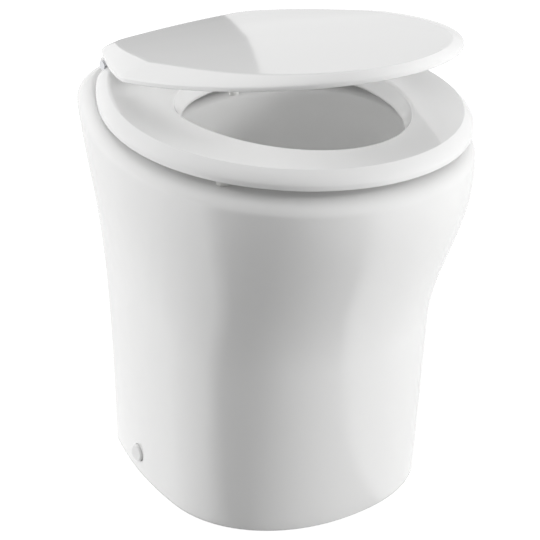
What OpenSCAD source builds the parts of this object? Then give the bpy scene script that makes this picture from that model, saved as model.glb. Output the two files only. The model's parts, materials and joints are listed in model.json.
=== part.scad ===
// Compact electric toilet: a ceramic pan with a macerator pump in its pedestal.
// The origin is on the floor, midway between the two floor screws.
// +Z is up, -Y is the front and +X is the sitter's left.

/* [Ceramic body] */
// Height of the rim's top above the floor
pan_height = 421; // [405:1:440]
// Width of the rim
pan_width = 376; // [360:1:390]
// Length of the pan from the front of the rim to the rear of the deck
pan_length = 508; // [500:1:516]
// Reach of the deck behind the floor screws
deck_rear = 214; // [208:1:220]
// Half-width of the flat rear wall at the deck
deck_flat = 84; // [80:1:90]
// Width of the foot
foot_w = 304; // [300:1:316]
// Reach of the foot in front of the floor screws
foot_front = 214; // [204:1:224]
// Reach of the foot behind the floor screws
foot_rear = 104; // [103:1:110]
// Half-width of the flat rear wall at the floor
foot_flat = 117; // [114:1:120]
// Distance of the widest section in front of the floor screws
wide_front = 80; // [74:1:84]
// Thickness of the outer wall and of the bowl
wall = 10; // [9:0.5:11]
// Thickness of the rim and deck
deck_t = 22; // [20:1:24]
// Radius of the rim's outer edge
rim_edge = 18; // [14:1:20]
// Radius of the rear corners at the floor
corner = 26; // [20:1:30]
// Radius of the rear corners at the deck
deck_corner = 59; // [54:1:62]

/* [Bowl] */
// Half-width of the bowl's mouth
mouth_half = 127; // [122:1:130]
// Width of the rim in front of the mouth
rim_land = 50; // [46:1:58]
// Length of the mouth behind its widest section
mouth_rear = 101; // [96:1:104]
// Distance of the mouth's widest section in front of the floor screws
mouth_y = 72; // [68:1:76]
// Depth of the upright wall below the rim
mouth_depth = 42; // [36:1:46]
// Height of the bowl's floor
sump_z = 212; // [208:1:218]
// Distance of the outlet in front of the floor screws
sump_y = 58; // [56:1:60]
// Inner radius of the outlet neck
neck_r = 36; // [34:0.5:37]
// Height of the neck's lower end
neck_z = 182; // [180:1:184]

/* [Seat and lid] */
// Width of the seat
seat_w = 374; // [370:1:376]
// Reach of the seat past the rim's front
seat_over = 2.5; // [0:0.5:4]
// Half-width of the seat's straight rear edge
seat_flat = 106; // [103:1:110]
// Half-width of the seat's opening
hole_half = 112; // [108:1:116]
// Width of the seat in front of its opening
seat_land = 67; // [63:1:71]
// Length of the opening behind its widest section
hole_rear = 92; // [86:1:96]
// Height of the seat's underside above the rim
seat_gap = 12.4; // [10:0.1:14]
// Thickness of the seat at its crown
seat_t = 20.5; // [19:0.5:22]
// Width of the lid
lid_w = 352; // [346:1:358]
// Reach of the closed lid past the rim's front
lid_over = 12; // [8:1:18]
// Half-width of the lid's straight rear edge
lid_flat = 99; // [97:0.5:103]
// Distance of the lid's widest section in front of the hinge
lid_wide = 168; // [162:1:174]
// Thickness of the lid's shell
lid_shell_t = 4; // [3.5:0.1:4.5]
// Height of the lid's crease above its lower edge
lid_crease_h = 10.8; // [10:0.1:12]
// Height of the lid's crown above its lower edge
lid_crown_h = 20; // [18:0.5:22]
// Angle at which the lid stands open
lid_open = 11.2; // [6:0.1:40]

/* [Hinge] */
// Distance of the hinge pins behind the floor screws
hinge_y = 124; // [122:0.5:125]
// Height of the hinge pins above the rim
hinge_h = 28; // [27:0.5:30]
// Height of the lid's lower edge above the hinge pins
lid_lift = 14.9; // [14:0.1:18]
// Radius of the hinge pins
pin_r = 4; // [3.5:0.1:4.3]
// Reach of the pins' heads from the middle
pin_end = 103; // [102.6:0.1:106]
// Distance of the hinge posts from the middle
post_x = 69; // [67:1:71]
// Width of a hinge post
post_w = 14; // [12:0.5:15]
// Width of a lid lug
lug_w = 14; // [12:0.5:15]
// Radius of the lugs and post heads
lug_r = 9; // [8.6:0.1:9.4]
// Radius of the rotary dampers
damper_r = 6.6; // [6:0.1:7]
// Radius of the hinge bolts
bolt_r = 4; // [3:0.1:4.4]
// Distance of the hinge bolts in front of the pins
bolt_back = 20; // [19:0.5:21]

/* [Floor fixing] */
// Distance from one floor screw hole to the other
floor_hole_gap = 196; // [190:1:200]
// Radius of the floor screw holes
floor_hole_r = 3.5; // [3:0.1:4.5]
// Height of the side screws above the floor
side_screw_z = 28; // [26:0.5:30]
// Radius of the side screws
side_screw_r = 3; // [2.5:0.1:3.4]
// Radius of the screw caps
cap_r = 10; // [9.6:0.1:11]
// Thickness of the bracket feet
bracket_t = 5; // [4:0.5:6]
// Thickness of the pump tray
tray_t = 4; // [3:0.5:5]

/* [Pump] */
// Height of the pump's axis above the floor
pump_z = 95; // [92:1:98]
// Distance of the pump's axis to the left of the middle
pump_x = 10; // [8:1:12]
// Outer radius of the motor's can
can_r = 42; // [40:0.5:43]
// Length of the motor's can
can_l = 90; // [86:1:92]
// Outer radius of the impeller chamber
chamber_r = 52; // [50:0.5:53]
// Outer radius of the inlet barrel
barrel_r = 42; // [41:0.5:43]
// Wall of the pump's castings
casting = 4; // [3.5:0.5:5]
// Radius of the shaft
shaft_r = 5; // [4:0.1:5.5]
// Radius of the cutter blade
cutter_r = 23; // [20:0.5:24]
// Outer radius of the discharge spigot
spigot_r = 19; // [17:0.5:20]
// Distance of the discharge line from the middle
line_x = 64; // [63:0.5:66]
// Height of the discharge line above the floor
line_z = 125; // [123:0.5:127]
// Reach of the discharge spigot behind the floor screws
spigot_end = 150; // [140:1:158]

/* [Water valve] */
// Distance of the valve from the middle
valve_x = 46; // [44:1:48]
// Height of the valve's pipe above the floor
valve_z = 258; // [254:1:262]
// Radius of the inlet's thread
inlet_r = 10.48; // [9.5:0.01:12]
// Reach of the inlet behind the floor screws
inlet_end = 140; // [134:1:148]
// Radius of the hose barbs
barb_r = 5; // [4:0.1:5.5]
// Travel of the plunger
plunger_lift = 4; // [3:0.5:5]
// Travel of the vacuum breaker's float
float_lift = 6; // [4:0.5:7]
// Distance of the vacuum breaker from the middle
breaker_x = 70; // [69:1:74]
// Height of the spray nozzle below the rim
nozzle_drop = 63; // [61:0.5:65]

/* [Electrics] */
// Width of the control box
box_w = 78; // [70:1:82]
// Height of the control box
box_h = 90; // [80:1:94]
// Depth of the control box
box_d = 36; // [30:1:40]
// Wall of the control box
box_wall = 2.5; // [2:0.1:3]
// Radius of the mains cable's hole
gland_r = 3.6; // [3:0.1:4.5]
// Radius of the leads
lead_r = 2.5; // [2:0.1:3]

/* [Fits] */
// Clearance of a running fit
run = 0.08; // [0.05:0.01:0.1]
// Clearance between pieces that sit together
sit = 0.3; // [0.2:0.05:0.4]
// Side clearance of the hinge pieces
side_gap = 1; // [0.6:0.1:1.2]

/* [Hidden] */

$fn = 48;
eps = 0.01;
glaze = [0.93, 0.93, 0.92];
plastic = [0.95, 0.95, 0.94];
steel = [0.72, 0.73, 0.75];
rubber = [0.13, 0.13, 0.14];
moulding = [0.22, 0.23, 0.25];
hose_grey = [0.55, 0.57, 0.6];

// Points in one ring of a lofted shell; a multiple of 16
ring_n = 64;
quarter = ring_n / 4;

// A ring point's number on the right side, and the side it lies on
function right_k(k) = k > ring_n / 2 ? ring_n - k : k;
function side(k) = k > ring_n / 2 ? -1 : 1;

// Rear quarter of an outline, from its widest section (q = 0) to the middle of the rear (q = 1):
// a side that draws in by a power of the distance, a rounded corner and a straight rear edge.
function rear_point(q, half, flat, length, radius, power) =
  let (
    start = 1 - radius / length,
    draw = half - flat,
    start_x = half - draw * pow(start, power),
    corner_x = start_x - power * draw * pow(start, power - 1) * (1 - start),
    u = min(q / 0.5625, 1) * start,
    t = min(max((q - 0.5625) / 0.25, 0), 1),
    s = max((q - 0.8125) / 0.1875, 0)
  )
  q <= 0.5625 ? [half - draw * pow(u, power), u * length]
  : q <= 0.8125 ? [
      (1 - t) * (1 - t) * start_x + 2 * t * (1 - t) * corner_x + t * t * (corner_x - radius),
      ((1 - t) * (1 - t) * start + 2 * t * (1 - t) + t * t) * length
    ]
  : [(corner_x - radius) * (1 - s), length];

// One ring with an elliptical front and a straight rear edge, drawn in by inset
function d_ring(z, half, flat, wide_y, front, rear, radius, power, inset = 0) = [
  for (k = [0:ring_n - 1])
    let (
      m = right_k(k),
      a = 90 * m / quarter,
      p = rear_point((m - quarter) / quarter, half - inset, flat - inset, rear - inset, radius, power)
    )
    m <= quarter
    ? [side(k) * (half - inset) * sin(a), wide_y - (front - inset) * cos(a), z]
    : [side(k) * p[0], wide_y + p[1], z]
];

// One egg-shaped ring, drawn in by inset
function egg_ring(z, half, wide_y, front, rear, inset = 0) = [
  for (k = [0:ring_n - 1])
    let (a = 360 * k / ring_n)
    [(half - inset) * sin(a), wide_y - ((cos(a) > 0 ? front : rear) - inset) * cos(a), z]
];

// A ring part way between two rings, at its own height
function between(a, b, t, z) = [
  for (k = [0:ring_n - 1]) [a[k][0] + (b[k][0] - a[k][0]) * t, a[k][1] + (b[k][1] - a[k][1]) * t, z]
];

function flat_list(lists) = [for (l = lists) for (v = l) v];

// Two faces for each step from ring i to ring j
function band(i, j, n) = [
  for (k = [0:n - 1])
    for (f = [[i * n + k, j * n + k, j * n + (k + 1) % n], [i * n + k, j * n + (k + 1) % n, i * n + (k + 1) % n]])
      f
];

// A shell whose rings close on themselves, like a ring doughnut
module closed_loft(rings) {
  m = len(rings);
  polyhedron(flat_list(rings), flat_list([for (i = [0:m - 1]) band(i, (i + 1) % m, ring_n)]));
}

// A shell that starts at the point first and ends at the point last
module capped_loft(rings, first, last) {
  m = len(rings);
  c = m * ring_n;
  polyhedron(
    concat(flat_list(rings), [first, last]),
    concat(
      flat_list([for (i = [0:m - 2]) band(i, i + 1, ring_n)]),
      [for (k = [0:ring_n - 1]) [c, k, (k + 1) % ring_n]],
      [for (k = [0:ring_n - 1]) [c + 1, (m - 1) * ring_n + (k + 1) % ring_n, (m - 1) * ring_n + k]]
    )
  );
}

// A rod of radius r along X, Y or Z, from a to b
module rod_x(r, a, b) translate([a, 0, 0]) rotate([0, 90, 0]) cylinder(r = r, h = b - a);
module rod_y(r, a, b) translate([0, b, 0]) rotate([90, 0, 0]) cylinder(r = r, h = b - a);
module rod_z(r, a, b) translate([0, 0, a]) cylinder(r = r, h = b - a);

// A six-sided bar, as wide across its corners as two radii
module hex_y(r, a, b) translate([0, b, 0]) rotate([90, 0, 0]) cylinder(r = r, h = b - a, $fn = 6);
module hex_z(r, a, b) translate([0, 0, a]) cylinder(r = r, h = b - a, $fn = 6);

// A box from its lowest to its highest corner
module block(low, high) translate(low) cube(high - low);

// Both mirror images across the middle plane
module both_sides() {
  children();
  mirror([1, 0, 0]) children();
}

// Ceramic body

rim_front = pan_length - deck_rear;
mouth_front = rim_front - mouth_y - rim_land;

// How far the wall has swelled from foot to rim at height z, from 0 to 1
swell_z = 390;
swell_from = 200;
swell_to = 385;
swell_share = 0.58;
function smooth(t) = let (c = min(max(t, 0), 1)) c * c * (3 - 2 * c);
function swell(z) =
  (1 - swell_share) * min(z / swell_z, 1)
  + swell_share * smooth((z - swell_from) / (swell_to - swell_from));
function mix(a, b, t) = a + (b - a) * t;

function rear_lean(z) = pow(z / pan_height, 2.5);
function wall_rear(z) = mix(foot_rear, deck_rear, rear_lean(z));
function wall_flat(z) = mix(foot_flat, deck_flat, rear_lean(z));
function wall_half(z) = mix(foot_w, pan_width, swell(z)) / 2;
function wall_ring(z, inset) = d_ring(
  z, wall_half(z), wall_flat(z), -wide_front, mix(foot_front, rim_front, swell(z)) - wide_front,
  wall_rear(z) + wide_front, mix(corner, deck_corner, rear_lean(z)), 2, inset
);

// Half-width of the outer wall at height z, level with the floor screws
function wall_x(z) =
  let (u = wide_front / (wall_rear(z) + wide_front)) wall_half(z) - (wall_half(z) - wall_flat(z)) * u * u;

lip_r = 12;
lip_turn = 60;
mouth_taper = 3;
wall_steps = 13;
inner_steps = 7;
wall_top = pan_height - rim_edge;
deck_under = pan_height - deck_t;
bowl_top = pan_height - mouth_depth;

function mouth_ring(z, inset) = egg_ring(z, mouth_half, -mouth_y, mouth_front, mouth_rear, inset);

// The bowl's wall at angle a below its upright part, t thick on the outside
function bowl_ring(a, t) =
  let (s = pow(cos(a), 0.9), top = mouth_taper)
  egg_ring(
    bowl_top - (bowl_top - sump_z) * sin(a) - t * sin(a),
    mix(neck_r, mouth_half - top, s) + t,
    -mix(sump_y, mouth_y, s),
    mix(neck_r, mouth_front - top, s) + t,
    mix(neck_r, mouth_rear - top, s) + t
  );

body_rings = concat(
  [for (i = [0:wall_steps]) wall_ring(wall_top * i / wall_steps, 0)],
  [for (a = [25:21:88]) wall_ring(wall_top + rim_edge * sin(a), rim_edge * (1 - cos(a)))],
  [wall_ring(pan_height, rim_edge)],
  [for (a = [0:20:lip_turn]) mouth_ring(pan_height - lip_r * (1 - cos(a)), -lip_r * (sin(lip_turn) - sin(a)))],
  [for (a = [0:11.25:90]) bowl_ring(a, 0)],
  [egg_ring(neck_z, neck_r, -sump_y, neck_r, neck_r)],
  [egg_ring(neck_z, neck_r + wall, -sump_y, neck_r + wall, neck_r + wall)],
  [for (a = [90:-15:0]) bowl_ring(a, wall)],
  [mouth_ring(deck_under, -wall)],
  [for (i = [inner_steps:-1:0]) wall_ring(deck_under * i / inner_steps, wall)]
);

// The arch in the rear wall through which the pump is fitted and serviced
arch_half = 88;
arch_top = 330;
arch_r = 40;
arch_y = 75;
module service_arch() {
  block([-arch_half, arch_y, -1], [arch_half, deck_rear + 20, arch_top - arch_r]);
  block([-arch_half + arch_r, arch_y, 0], [arch_half - arch_r, deck_rear + 20, arch_top]);
  both_sides() translate([arch_half - arch_r, 0, arch_top - arch_r]) rod_y(arch_r, arch_y, deck_rear + 20);
}

cap_seat = wall_x(side_screw_z) - 2;
cap_h = 6.2;
spot_r = cap_r + 1;
screw_hole_r = side_screw_r + 0.6;
nozzle_r = 8;
nozzle_z = pan_height - nozzle_drop;
bolt_y = hinge_y - bolt_back;
bolt_hole_r = bolt_r + 0.8;

module ceramic_body() {
  color(glaze)
    difference() {
      closed_loft(body_rings);
      service_arch();
      both_sides() {
        translate([post_x, bolt_y, 0]) rod_z(bolt_hole_r, deck_under - 5, pan_height + 5);
        translate([0, 0, side_screw_z]) {
          rod_x(screw_hole_r, wall_half(0) - 60, wall_half(0) + 20);
          rod_x(spot_r, cap_seat, wall_half(0) + 20);
        }
      }
      translate([0, 0, nozzle_z]) rod_y(nozzle_r, 0, 60);
    }
}

// Seat

seat_z = pan_height + seat_gap;
seat_front = rim_front + seat_over;
seat_wide = wide_front + 4;
hole_y = mouth_y;
hole_front = seat_front - hole_y - seat_land;
hinge_z = pan_height + hinge_h;
seat_rear = hinge_y + 3.5;
seat_corner = 14;
seat_crease = 10.5;
seat_flare = 7.6;
post_in = post_x - post_w / 2;
post_out = post_x + post_w / 2;
lug_out = post_in - side_gap;
lug_in = lug_out - lug_w;
ear_in = post_out + side_gap;
pin_head_t = 3;
pin_head_r = pin_r + 1.2;
ear_out = pin_end - pin_head_t - sit;
notch_y = hinge_y - lug_r - 9;

function seat_edge(h, inset) = d_ring(
  seat_z + h, seat_w / 2, seat_flat, -seat_wide, seat_front - seat_wide, seat_rear + seat_wide, seat_corner, 2, inset
);
function seat_hole(h, grow) = egg_ring(seat_z + h, hole_half, -hole_y, hole_front, hole_rear, -grow);

seat_rings = concat(
  [seat_edge(0, 1.5), seat_edge(2, 0), seat_edge(0.25 * seat_t, 0)],
  [for (s = [0.25:0.25:1]) seat_edge(seat_t * mix(0.25, 0.94, s), seat_crease * pow(s, 1.6))],
  [
    between(seat_edge(0, seat_crease), seat_hole(0, seat_flare), 0.35, seat_z + seat_t),
    between(seat_edge(0, seat_crease), seat_hole(0, seat_flare), 0.7, seat_z + seat_t * 0.99),
    seat_hole(seat_t * 0.94, seat_flare + 3.5), seat_hole(seat_t * 0.91, seat_flare + 1),
    seat_hole(seat_t * 0.84, seat_flare), seat_hole(seat_t * 0.48, seat_flare / 2),
    seat_hole(seat_t * 0.12, 0), seat_hole(0, 1.5)
  ]
);

module seat_ring() {
  color(plastic)
    difference() {
      union() {
        closed_loft(seat_rings);
        both_sides() translate([0, hinge_y, hinge_z]) {
          rod_x(lug_r, ear_in, ear_out);
          block([ear_in, -lug_r - 6, -lug_r], [ear_out, 0, 0]);
        }
      }
      both_sides() {
        block([lug_in - side_gap, notch_y, seat_z - 5], [ear_in, seat_rear + 10, seat_z + seat_t + 5]);
        translate([0, hinge_y, hinge_z]) {
          rod_x(pin_r + run, ear_in - 1, pin_end + 10);
          rod_x(pin_head_r + sit, ear_out, pin_end + 10);
        }
      }
    }
}

// Bumpers under the seat: their place along the seat's edge, as ring point numbers
bumper_r = 7;
bumper_inset = 24;
seat_bumper_k = [11, 22];
module seat_bumpers() {
  color(plastic)
    both_sides() for (k = seat_bumper_k) {
      p = seat_edge(0, bumper_inset)[k];
      translate([p[0], p[1], 0]) rod_z(bumper_r, pan_height + sit, seat_z);
    }
}

// Lid, drawn closed about the hinge and then opened

module at_hinge(angle) translate([0, hinge_y, hinge_z]) rotate([-angle, 0, 0]) children();

lid_rear = 4.1;
lid_corner = 16;
lid_crease = 11;
lid_rim = 4;
lid_power = 1.2;
lid_span = lid_w / 2;
lid_front = hinge_y + rim_front + lid_over;
lid_centre = [for (k = [0:ring_n - 1]) [0, -lid_front / 2, 0]];

function lid_edge(h, inset) = d_ring(
  lid_lift + h, lid_span, lid_flat, -lid_wide, lid_front - lid_wide, lid_rear + lid_wide,
  lid_corner, lid_power, inset
);

// Height of the crown part way from the crease (t = 0) to the middle (t = 1)
function crown_top(t) = mix(lid_crease_h, lid_crown_h, 1 - pow(1 - t, 2.2));

// Height of the lid's top at a distance inside its edge
function lid_top(inset) =
  inset < lid_crease
  ? lid_crease_h * mix(0.32, 1, pow(inset / lid_crease, 0.625))
  : crown_top((inset - lid_crease) / (lid_span - lid_crease));

// Ring of the crown from the crease (t = 0) to the middle (t = 1)
function lid_crown(t, drop) = between(
  lid_edge(0, lid_crease), lid_centre, t, lid_lift + crown_top(t) - drop
);

lid_rings = concat(
  [for (t = [0.85, 0.6, 0.3]) lid_crown(t, lid_shell_t)],
  [for (f = [1, 0.5]) lid_edge(lid_top(f * lid_crease) - lid_shell_t, f * lid_crease)],
  [lid_edge(0, lid_rim + 1), lid_edge(0, 1.2), lid_edge(1.2, 0)],
  [for (f = [0, 0.08, 0.25, 0.5, 0.75, 1]) lid_edge(lid_top(f * lid_crease), f * lid_crease)],
  [for (t = [0.1, 0.22, 0.38, 0.58, 0.8]) lid_crown(t, 0)]
);

module lid_shell() {
  color(plastic)
    at_hinge(lid_open) difference() {
      union() {
        capped_loft(
          lid_rings,
          lid_centre[0] + [0, 0, lid_lift + lid_crown_h - lid_shell_t],
          lid_centre[0] + [0, 0, lid_lift + lid_crown_h]
        );
        both_sides() {
          rod_x(lug_r, lug_in, lug_out);
          block([lug_in, -lug_r, 0], [lug_out, 2, lid_lift + 3]);
          block([lug_in, -lug_r, 0], [lug_out, lug_r, 6]);
        }
      }
      both_sides() rod_x(damper_r, lug_in - 1, lug_out + 1);
      lid_bumper_rods();
    }
}

// Rotary dampers pressed into the lid's lugs, turning on the pins
module lid_dampers() {
  color(steel)
    at_hinge(lid_open) both_sides() difference() {
      rod_x(damper_r, lug_in, lug_out);
      rod_x(pin_r + run, lug_in - 1, lug_out + 1);
    }
}

lid_bumper_k = 10;
lid_bumper_inset = 22;
lid_bumper_r = 5;
bumper_sink = 1;
module lid_bumper_rods() {
  p = lid_edge(0, lid_bumper_inset)[lid_bumper_k];
  top = lid_lift + lid_top(lid_bumper_inset) - lid_shell_t + bumper_sink;
  both_sides() translate([p[0], p[1], 0]) rod_z(lid_bumper_r, seat_z + seat_t - hinge_z + sit, top);
}
module lid_bumpers() color(plastic) at_hinge(lid_open) lid_bumper_rods();

// Hinge posts, pins and bolts

foot_t = 4;
head_h = 3.5;
module hinge_post() {
  color(plastic)
    difference() {
      union() {
        translate([post_x, bolt_y, 0]) rod_z(12, pan_height, pan_height + foot_t);
        block([post_in, bolt_y, pan_height], [post_out, hinge_y + lug_r - 1, pan_height + foot_t]);
        block([post_in, hinge_y - lug_r + 1, pan_height], [post_out, hinge_y + lug_r - 1, hinge_z]);
        translate([0, hinge_y, hinge_z]) rod_x(lug_r - 1, post_in, post_out);
      }
      translate([0, hinge_y, hinge_z]) rod_x(pin_r, post_in - 1, post_out + 1);
      translate([post_x, bolt_y, 0]) rod_z(bolt_r, pan_height - 1, pan_height + foot_t + 1);
    }
}
module left_hinge_post() hinge_post();
module right_hinge_post() mirror([1, 0, 0]) hinge_post();

module hinge_pin() {
  color(steel)
    translate([0, hinge_y, hinge_z]) {
      rod_x(pin_r, lug_in, pin_end - pin_head_t);
      rod_x(pin_head_r, pin_end - pin_head_t, pin_end);
    }
}
module left_hinge_pin() hinge_pin();
module right_hinge_pin() mirror([1, 0, 0]) hinge_pin();

washer_t = 5;
hanger_t = 3;
nut_h = 7;
hanger_top = deck_under - washer_t;
nut_top = hanger_top - hanger_t;
module hinge_bolts() {
  color(steel)
    both_sides() translate([post_x, bolt_y, 0]) {
      rod_z(bolt_r, nut_top - nut_h - 6, pan_height + foot_t);
      rod_z(bolt_r + 3, pan_height + foot_t, pan_height + foot_t + head_h);
    }
}

module hinge_washers() {
  color(rubber)
    both_sides() translate([post_x, bolt_y, 0]) difference() {
      rod_z(13, hanger_top, deck_under);
      rod_z(bolt_r, hanger_top - 1, deck_under + 1);
    }
}

module hinge_nuts() {
  color(plastic)
    both_sides() translate([post_x, bolt_y, 0]) difference() {
      union() {
        rod_z(bolt_r + 4, nut_top - nut_h, nut_top);
        block([-14, -2, nut_top - nut_h], [14, 2, nut_top - 2]);
      }
      rod_z(bolt_r, nut_top - nut_h - 1, nut_top + 1);
    }
}

// Floor fixing

bracket_len = 60;
bracket_in = 82;
bracket_out = cap_seat - wall - 7;
bracket_leg = 12;
bracket_h = side_screw_z + 14;
floor_x = floor_hole_gap / 2;
tray_screw_y = 21;
tray_screw_r = 2.5;
module floor_brackets() {
  color(moulding)
    both_sides() difference() {
      union() {
        block([bracket_in, -bracket_len / 2, 0], [bracket_out, bracket_len / 2, bracket_t]);
        block([bracket_out - bracket_leg, -bracket_len / 2, 0], [bracket_out, bracket_len / 2, bracket_h]);
      }
      translate([floor_x, 0, 0]) rod_z(floor_hole_r, -1, bracket_t + 1);
      translate([0, 0, side_screw_z]) rod_x(side_screw_r, bracket_out - bracket_leg - 1, bracket_out + 1);
      for (s = [-1, 1]) translate([floor_x, s * tray_screw_y, 0]) rod_z(tray_screw_r, -1, bracket_t + 1);
    }
}

side_washer_r = 8;
side_washer_t = 1.5;
side_head_r = 5.5;
side_head_h = 2.6;
module side_screws() {
  color(steel)
    both_sides() translate([0, 0, side_screw_z]) {
      rod_x(side_screw_r, bracket_out - bracket_leg, cap_seat + side_washer_t);
      rod_x(side_head_r, cap_seat + side_washer_t, cap_seat + side_washer_t + side_head_h);
    }
}

module side_washers() {
  color(steel)
    both_sides() translate([0, 0, side_screw_z]) difference() {
      rod_x(side_washer_r, cap_seat, cap_seat + side_washer_t);
      rod_x(side_screw_r, cap_seat - 1, cap_seat + side_washer_t + 1);
    }
}

// Round snap-on caps with a softened edge
cap_edge = 2;
cap_wall = 1.6;
module screw_caps() {
  color(plastic)
    both_sides() translate([cap_seat, 0, side_screw_z]) rotate([0, 90, 0]) rotate_extrude()
      difference() {
        union() {
          square([cap_r, cap_h - cap_edge]);
          square([cap_r - cap_edge, cap_h]);
          translate([cap_r - cap_edge, cap_h - cap_edge]) circle(r = cap_edge);
        }
        translate([-eps, -eps]) square([cap_r - cap_wall + eps, cap_h - cap_wall + eps]);
        translate([-2 * cap_r, -cap_h]) square([2 * cap_r, 3 * cap_h]);
      }
}

tray_z = bracket_t;
tray_top = tray_z + tray_t;
tray_half = 112;
tray_front = -104;
tray_back = 92;
tray_core = 62;
module pump_tray() {
  color(steel)
    difference() {
      union() {
        block([-tray_half, -bracket_len / 2, tray_z], [tray_half, bracket_len / 2, tray_top]);
        block([-tray_core, tray_front, tray_z], [tray_core, tray_back, tray_top]);
      }
      both_sides() {
        translate([floor_x, 0, 0]) rod_z(8, tray_z - 1, tray_top + 1);
        for (s = [-1, 1]) translate([floor_x, s * tray_screw_y, 0]) rod_z(tray_screw_r, tray_z - 1, tray_top + 1);
      }
    }
}

module tray_screws() {
  color(steel)
    both_sides() for (s = [-1, 1]) translate([floor_x, s * tray_screw_y, 0]) {
      rod_z(tray_screw_r, 1, tray_top);
      rod_z(tray_screw_r + 2, tray_top, tray_top + 3);
    }
}

// Macerator pump, drawn about its own axis

module on_pump_axis() translate([-pump_x, 0, pump_z]) children();

plate_y = -12;
plate_t = 8;
can_y = plate_y + plate_t;
can_end = can_y + can_l;
can_wall = 3;
end_cap_t = 8;
chamber_l = 34;
chamber_y = plate_y - chamber_l;
flange_r = chamber_r + 8;
flange_t = 5;
screw_ring = chamber_r + 4;
eye_r = 20;
bearing_r = 13;
bearing_t = 8;
barrel_top = neck_z - 14;
barrel_floor = 50;
stub_r = 17;
stub_bore = 13;
bend_r = 18;
stub_end = line_x - bend_r;
stub_grip = 4;
elbow_y = plate_y - flange_t - stub_r - 1;

module macerator_housing() {
  color(moulding)
    difference() {
      union() {
        translate([0, -sump_y, 0]) rod_z(barrel_r, barrel_floor, barrel_top);
        on_pump_axis() {
          rod_y(chamber_r, chamber_y, plate_y);
          rod_y(flange_r, plate_y - flange_t, plate_y);
        }
        translate([0, elbow_y, line_z]) rod_x(stub_r - casting, 0, stub_end);
        translate([0, -sump_y, 0]) for (s = [-1, 1]) block([s * 26 - 6, -12, tray_top], [s * 26 + 6, 12, barrel_floor + 6]);
      }
      intersection() {
        translate([0, -sump_y, 0]) rod_z(barrel_r - casting, barrel_floor + casting, barrel_top + 1);
        block([-barrel_r, -2 * barrel_r - sump_y, 0], [barrel_r, chamber_y, 2 * barrel_top]);
      }
      intersection() {
        translate([0, -sump_y, 0]) rod_z(barrel_r - casting, pump_z + chamber_r + casting, barrel_top + 1);
        block([-barrel_r, -2 * barrel_r - sump_y, 0], [barrel_r, 0, 2 * barrel_top]);
      }
      on_pump_axis() {
        rod_y(chamber_r - casting - 1, chamber_y + casting, plate_y + 1);
        rod_y(eye_r, chamber_y - 5, plate_y);
        for (i = [0:5]) rotate([0, 60 * i, 0]) translate([screw_ring, 0, 0]) rod_y(2, plate_y - flange_t - 1, plate_y + 1);
      }
      translate([0, elbow_y, line_z]) rod_x(stub_bore - casting, 0, stub_end + 1);
    }
}

module housing_screws() {
  color(steel)
    on_pump_axis() for (i = [0:5]) rotate([0, 60 * i, 0]) translate([screw_ring, 0, 0]) {
      rod_y(2, plate_y - flange_t - 2, plate_y + plate_t);
      rod_y(3.6, plate_y + plate_t, plate_y + plate_t + 2.6);
    }
}

o_ring_r = 1.5;
module housing_o_ring() {
  color(rubber)
    on_pump_axis() translate([0, plate_y + o_ring_r, 0]) rotate([90, 0, 0]) rotate_extrude()
      translate([chamber_r - casting + 1.5, 0]) circle(r = o_ring_r, $fn = 24);
}

module macerator_back_plate() {
  color(moulding)
    on_pump_axis() difference() {
      rod_y(flange_r, plate_y, plate_y + plate_t);
      rod_y(shaft_r + 1, plate_y - 1, plate_y + plate_t + 1);
      rod_y(11, plate_y - 1, plate_y + 5);
      difference() {
        rod_y(chamber_r - casting + 1.5 + o_ring_r, plate_y - 1, plate_y + 2 * o_ring_r);
        rod_y(chamber_r - casting + 1.5 - o_ring_r, plate_y - 2, plate_y + 2 * o_ring_r + 1);
      }
      for (i = [0:5]) rotate([0, 60 * i, 0]) translate([screw_ring, 0, 0]) rod_y(2, plate_y - 1, plate_y + plate_t + 1);
    }
}

module shaft_seal() {
  color(rubber)
    on_pump_axis() difference() {
      rod_y(11, plate_y, plate_y + 5);
      rod_y(shaft_r + run, plate_y - 1, plate_y + 6);
    }
}

module motor_can() {
  color([0.3, 0.32, 0.35])
    on_pump_axis() difference() {
      rod_y(can_r, can_y, can_end);
      rod_y(can_r - can_wall, can_y + can_wall, can_end + 1);
      rod_y(bearing_r, can_y - 1, can_y + can_wall + 1);
    }
}

fins = 14;
module motor_end_cap() {
  color(steel)
    on_pump_axis() difference() {
      union() {
        rod_y(can_r, can_end, can_end + end_cap_t / 2);
        rod_y(can_r - 6, can_end, can_end + end_cap_t);
        rod_y(bearing_r + 4, can_end - bearing_t - 1, can_end);
      }
      rod_y(bearing_r, can_end - bearing_t - 2, can_end);
      rod_y(shaft_r + 2, can_end - 1, can_end + 3);
      for (i = [0:fins - 1]) rotate([0, 360 * i / fins, 0])
        block([shaft_r + 13, can_end + end_cap_t - 2, -1.6], [can_r - 11, can_end + end_cap_t + 1, 1.6]);
    }
}

module motor_bearings() {
  color(steel)
    on_pump_axis() for (y = [can_y, can_end - bearing_t]) difference() {
      rod_y(bearing_r, y, y + bearing_t);
      rod_y(shaft_r + run, y - 1, y + bearing_t + 1);
    }
}

core_y = can_y + 18;
core_l = 54;
core_r = can_r - can_wall - 9;
module stator_core() {
  color([0.4, 0.36, 0.3])
    on_pump_axis() difference() {
      rod_y(can_r - can_wall, core_y, core_y + core_l);
      rod_y(core_r + 0.6, core_y - 1, core_y + core_l + 1);
    }
}

module armature() {
  color([0.62, 0.45, 0.3])
    on_pump_axis() difference() {
      union() {
        rod_y(core_r, core_y, core_y + core_l);
        rod_y(core_r - 8, core_y - 7, core_y + core_l + 7);
      }
      rod_y(shaft_r, core_y - 8, core_y + core_l + 8);
    }
}

cutter_y = chamber_y - 10;
cutter_t = 3;
module motor_shaft() {
  color(steel)
    on_pump_axis() rod_y(shaft_r, cutter_y - 8, can_end + 2);
}

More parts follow.
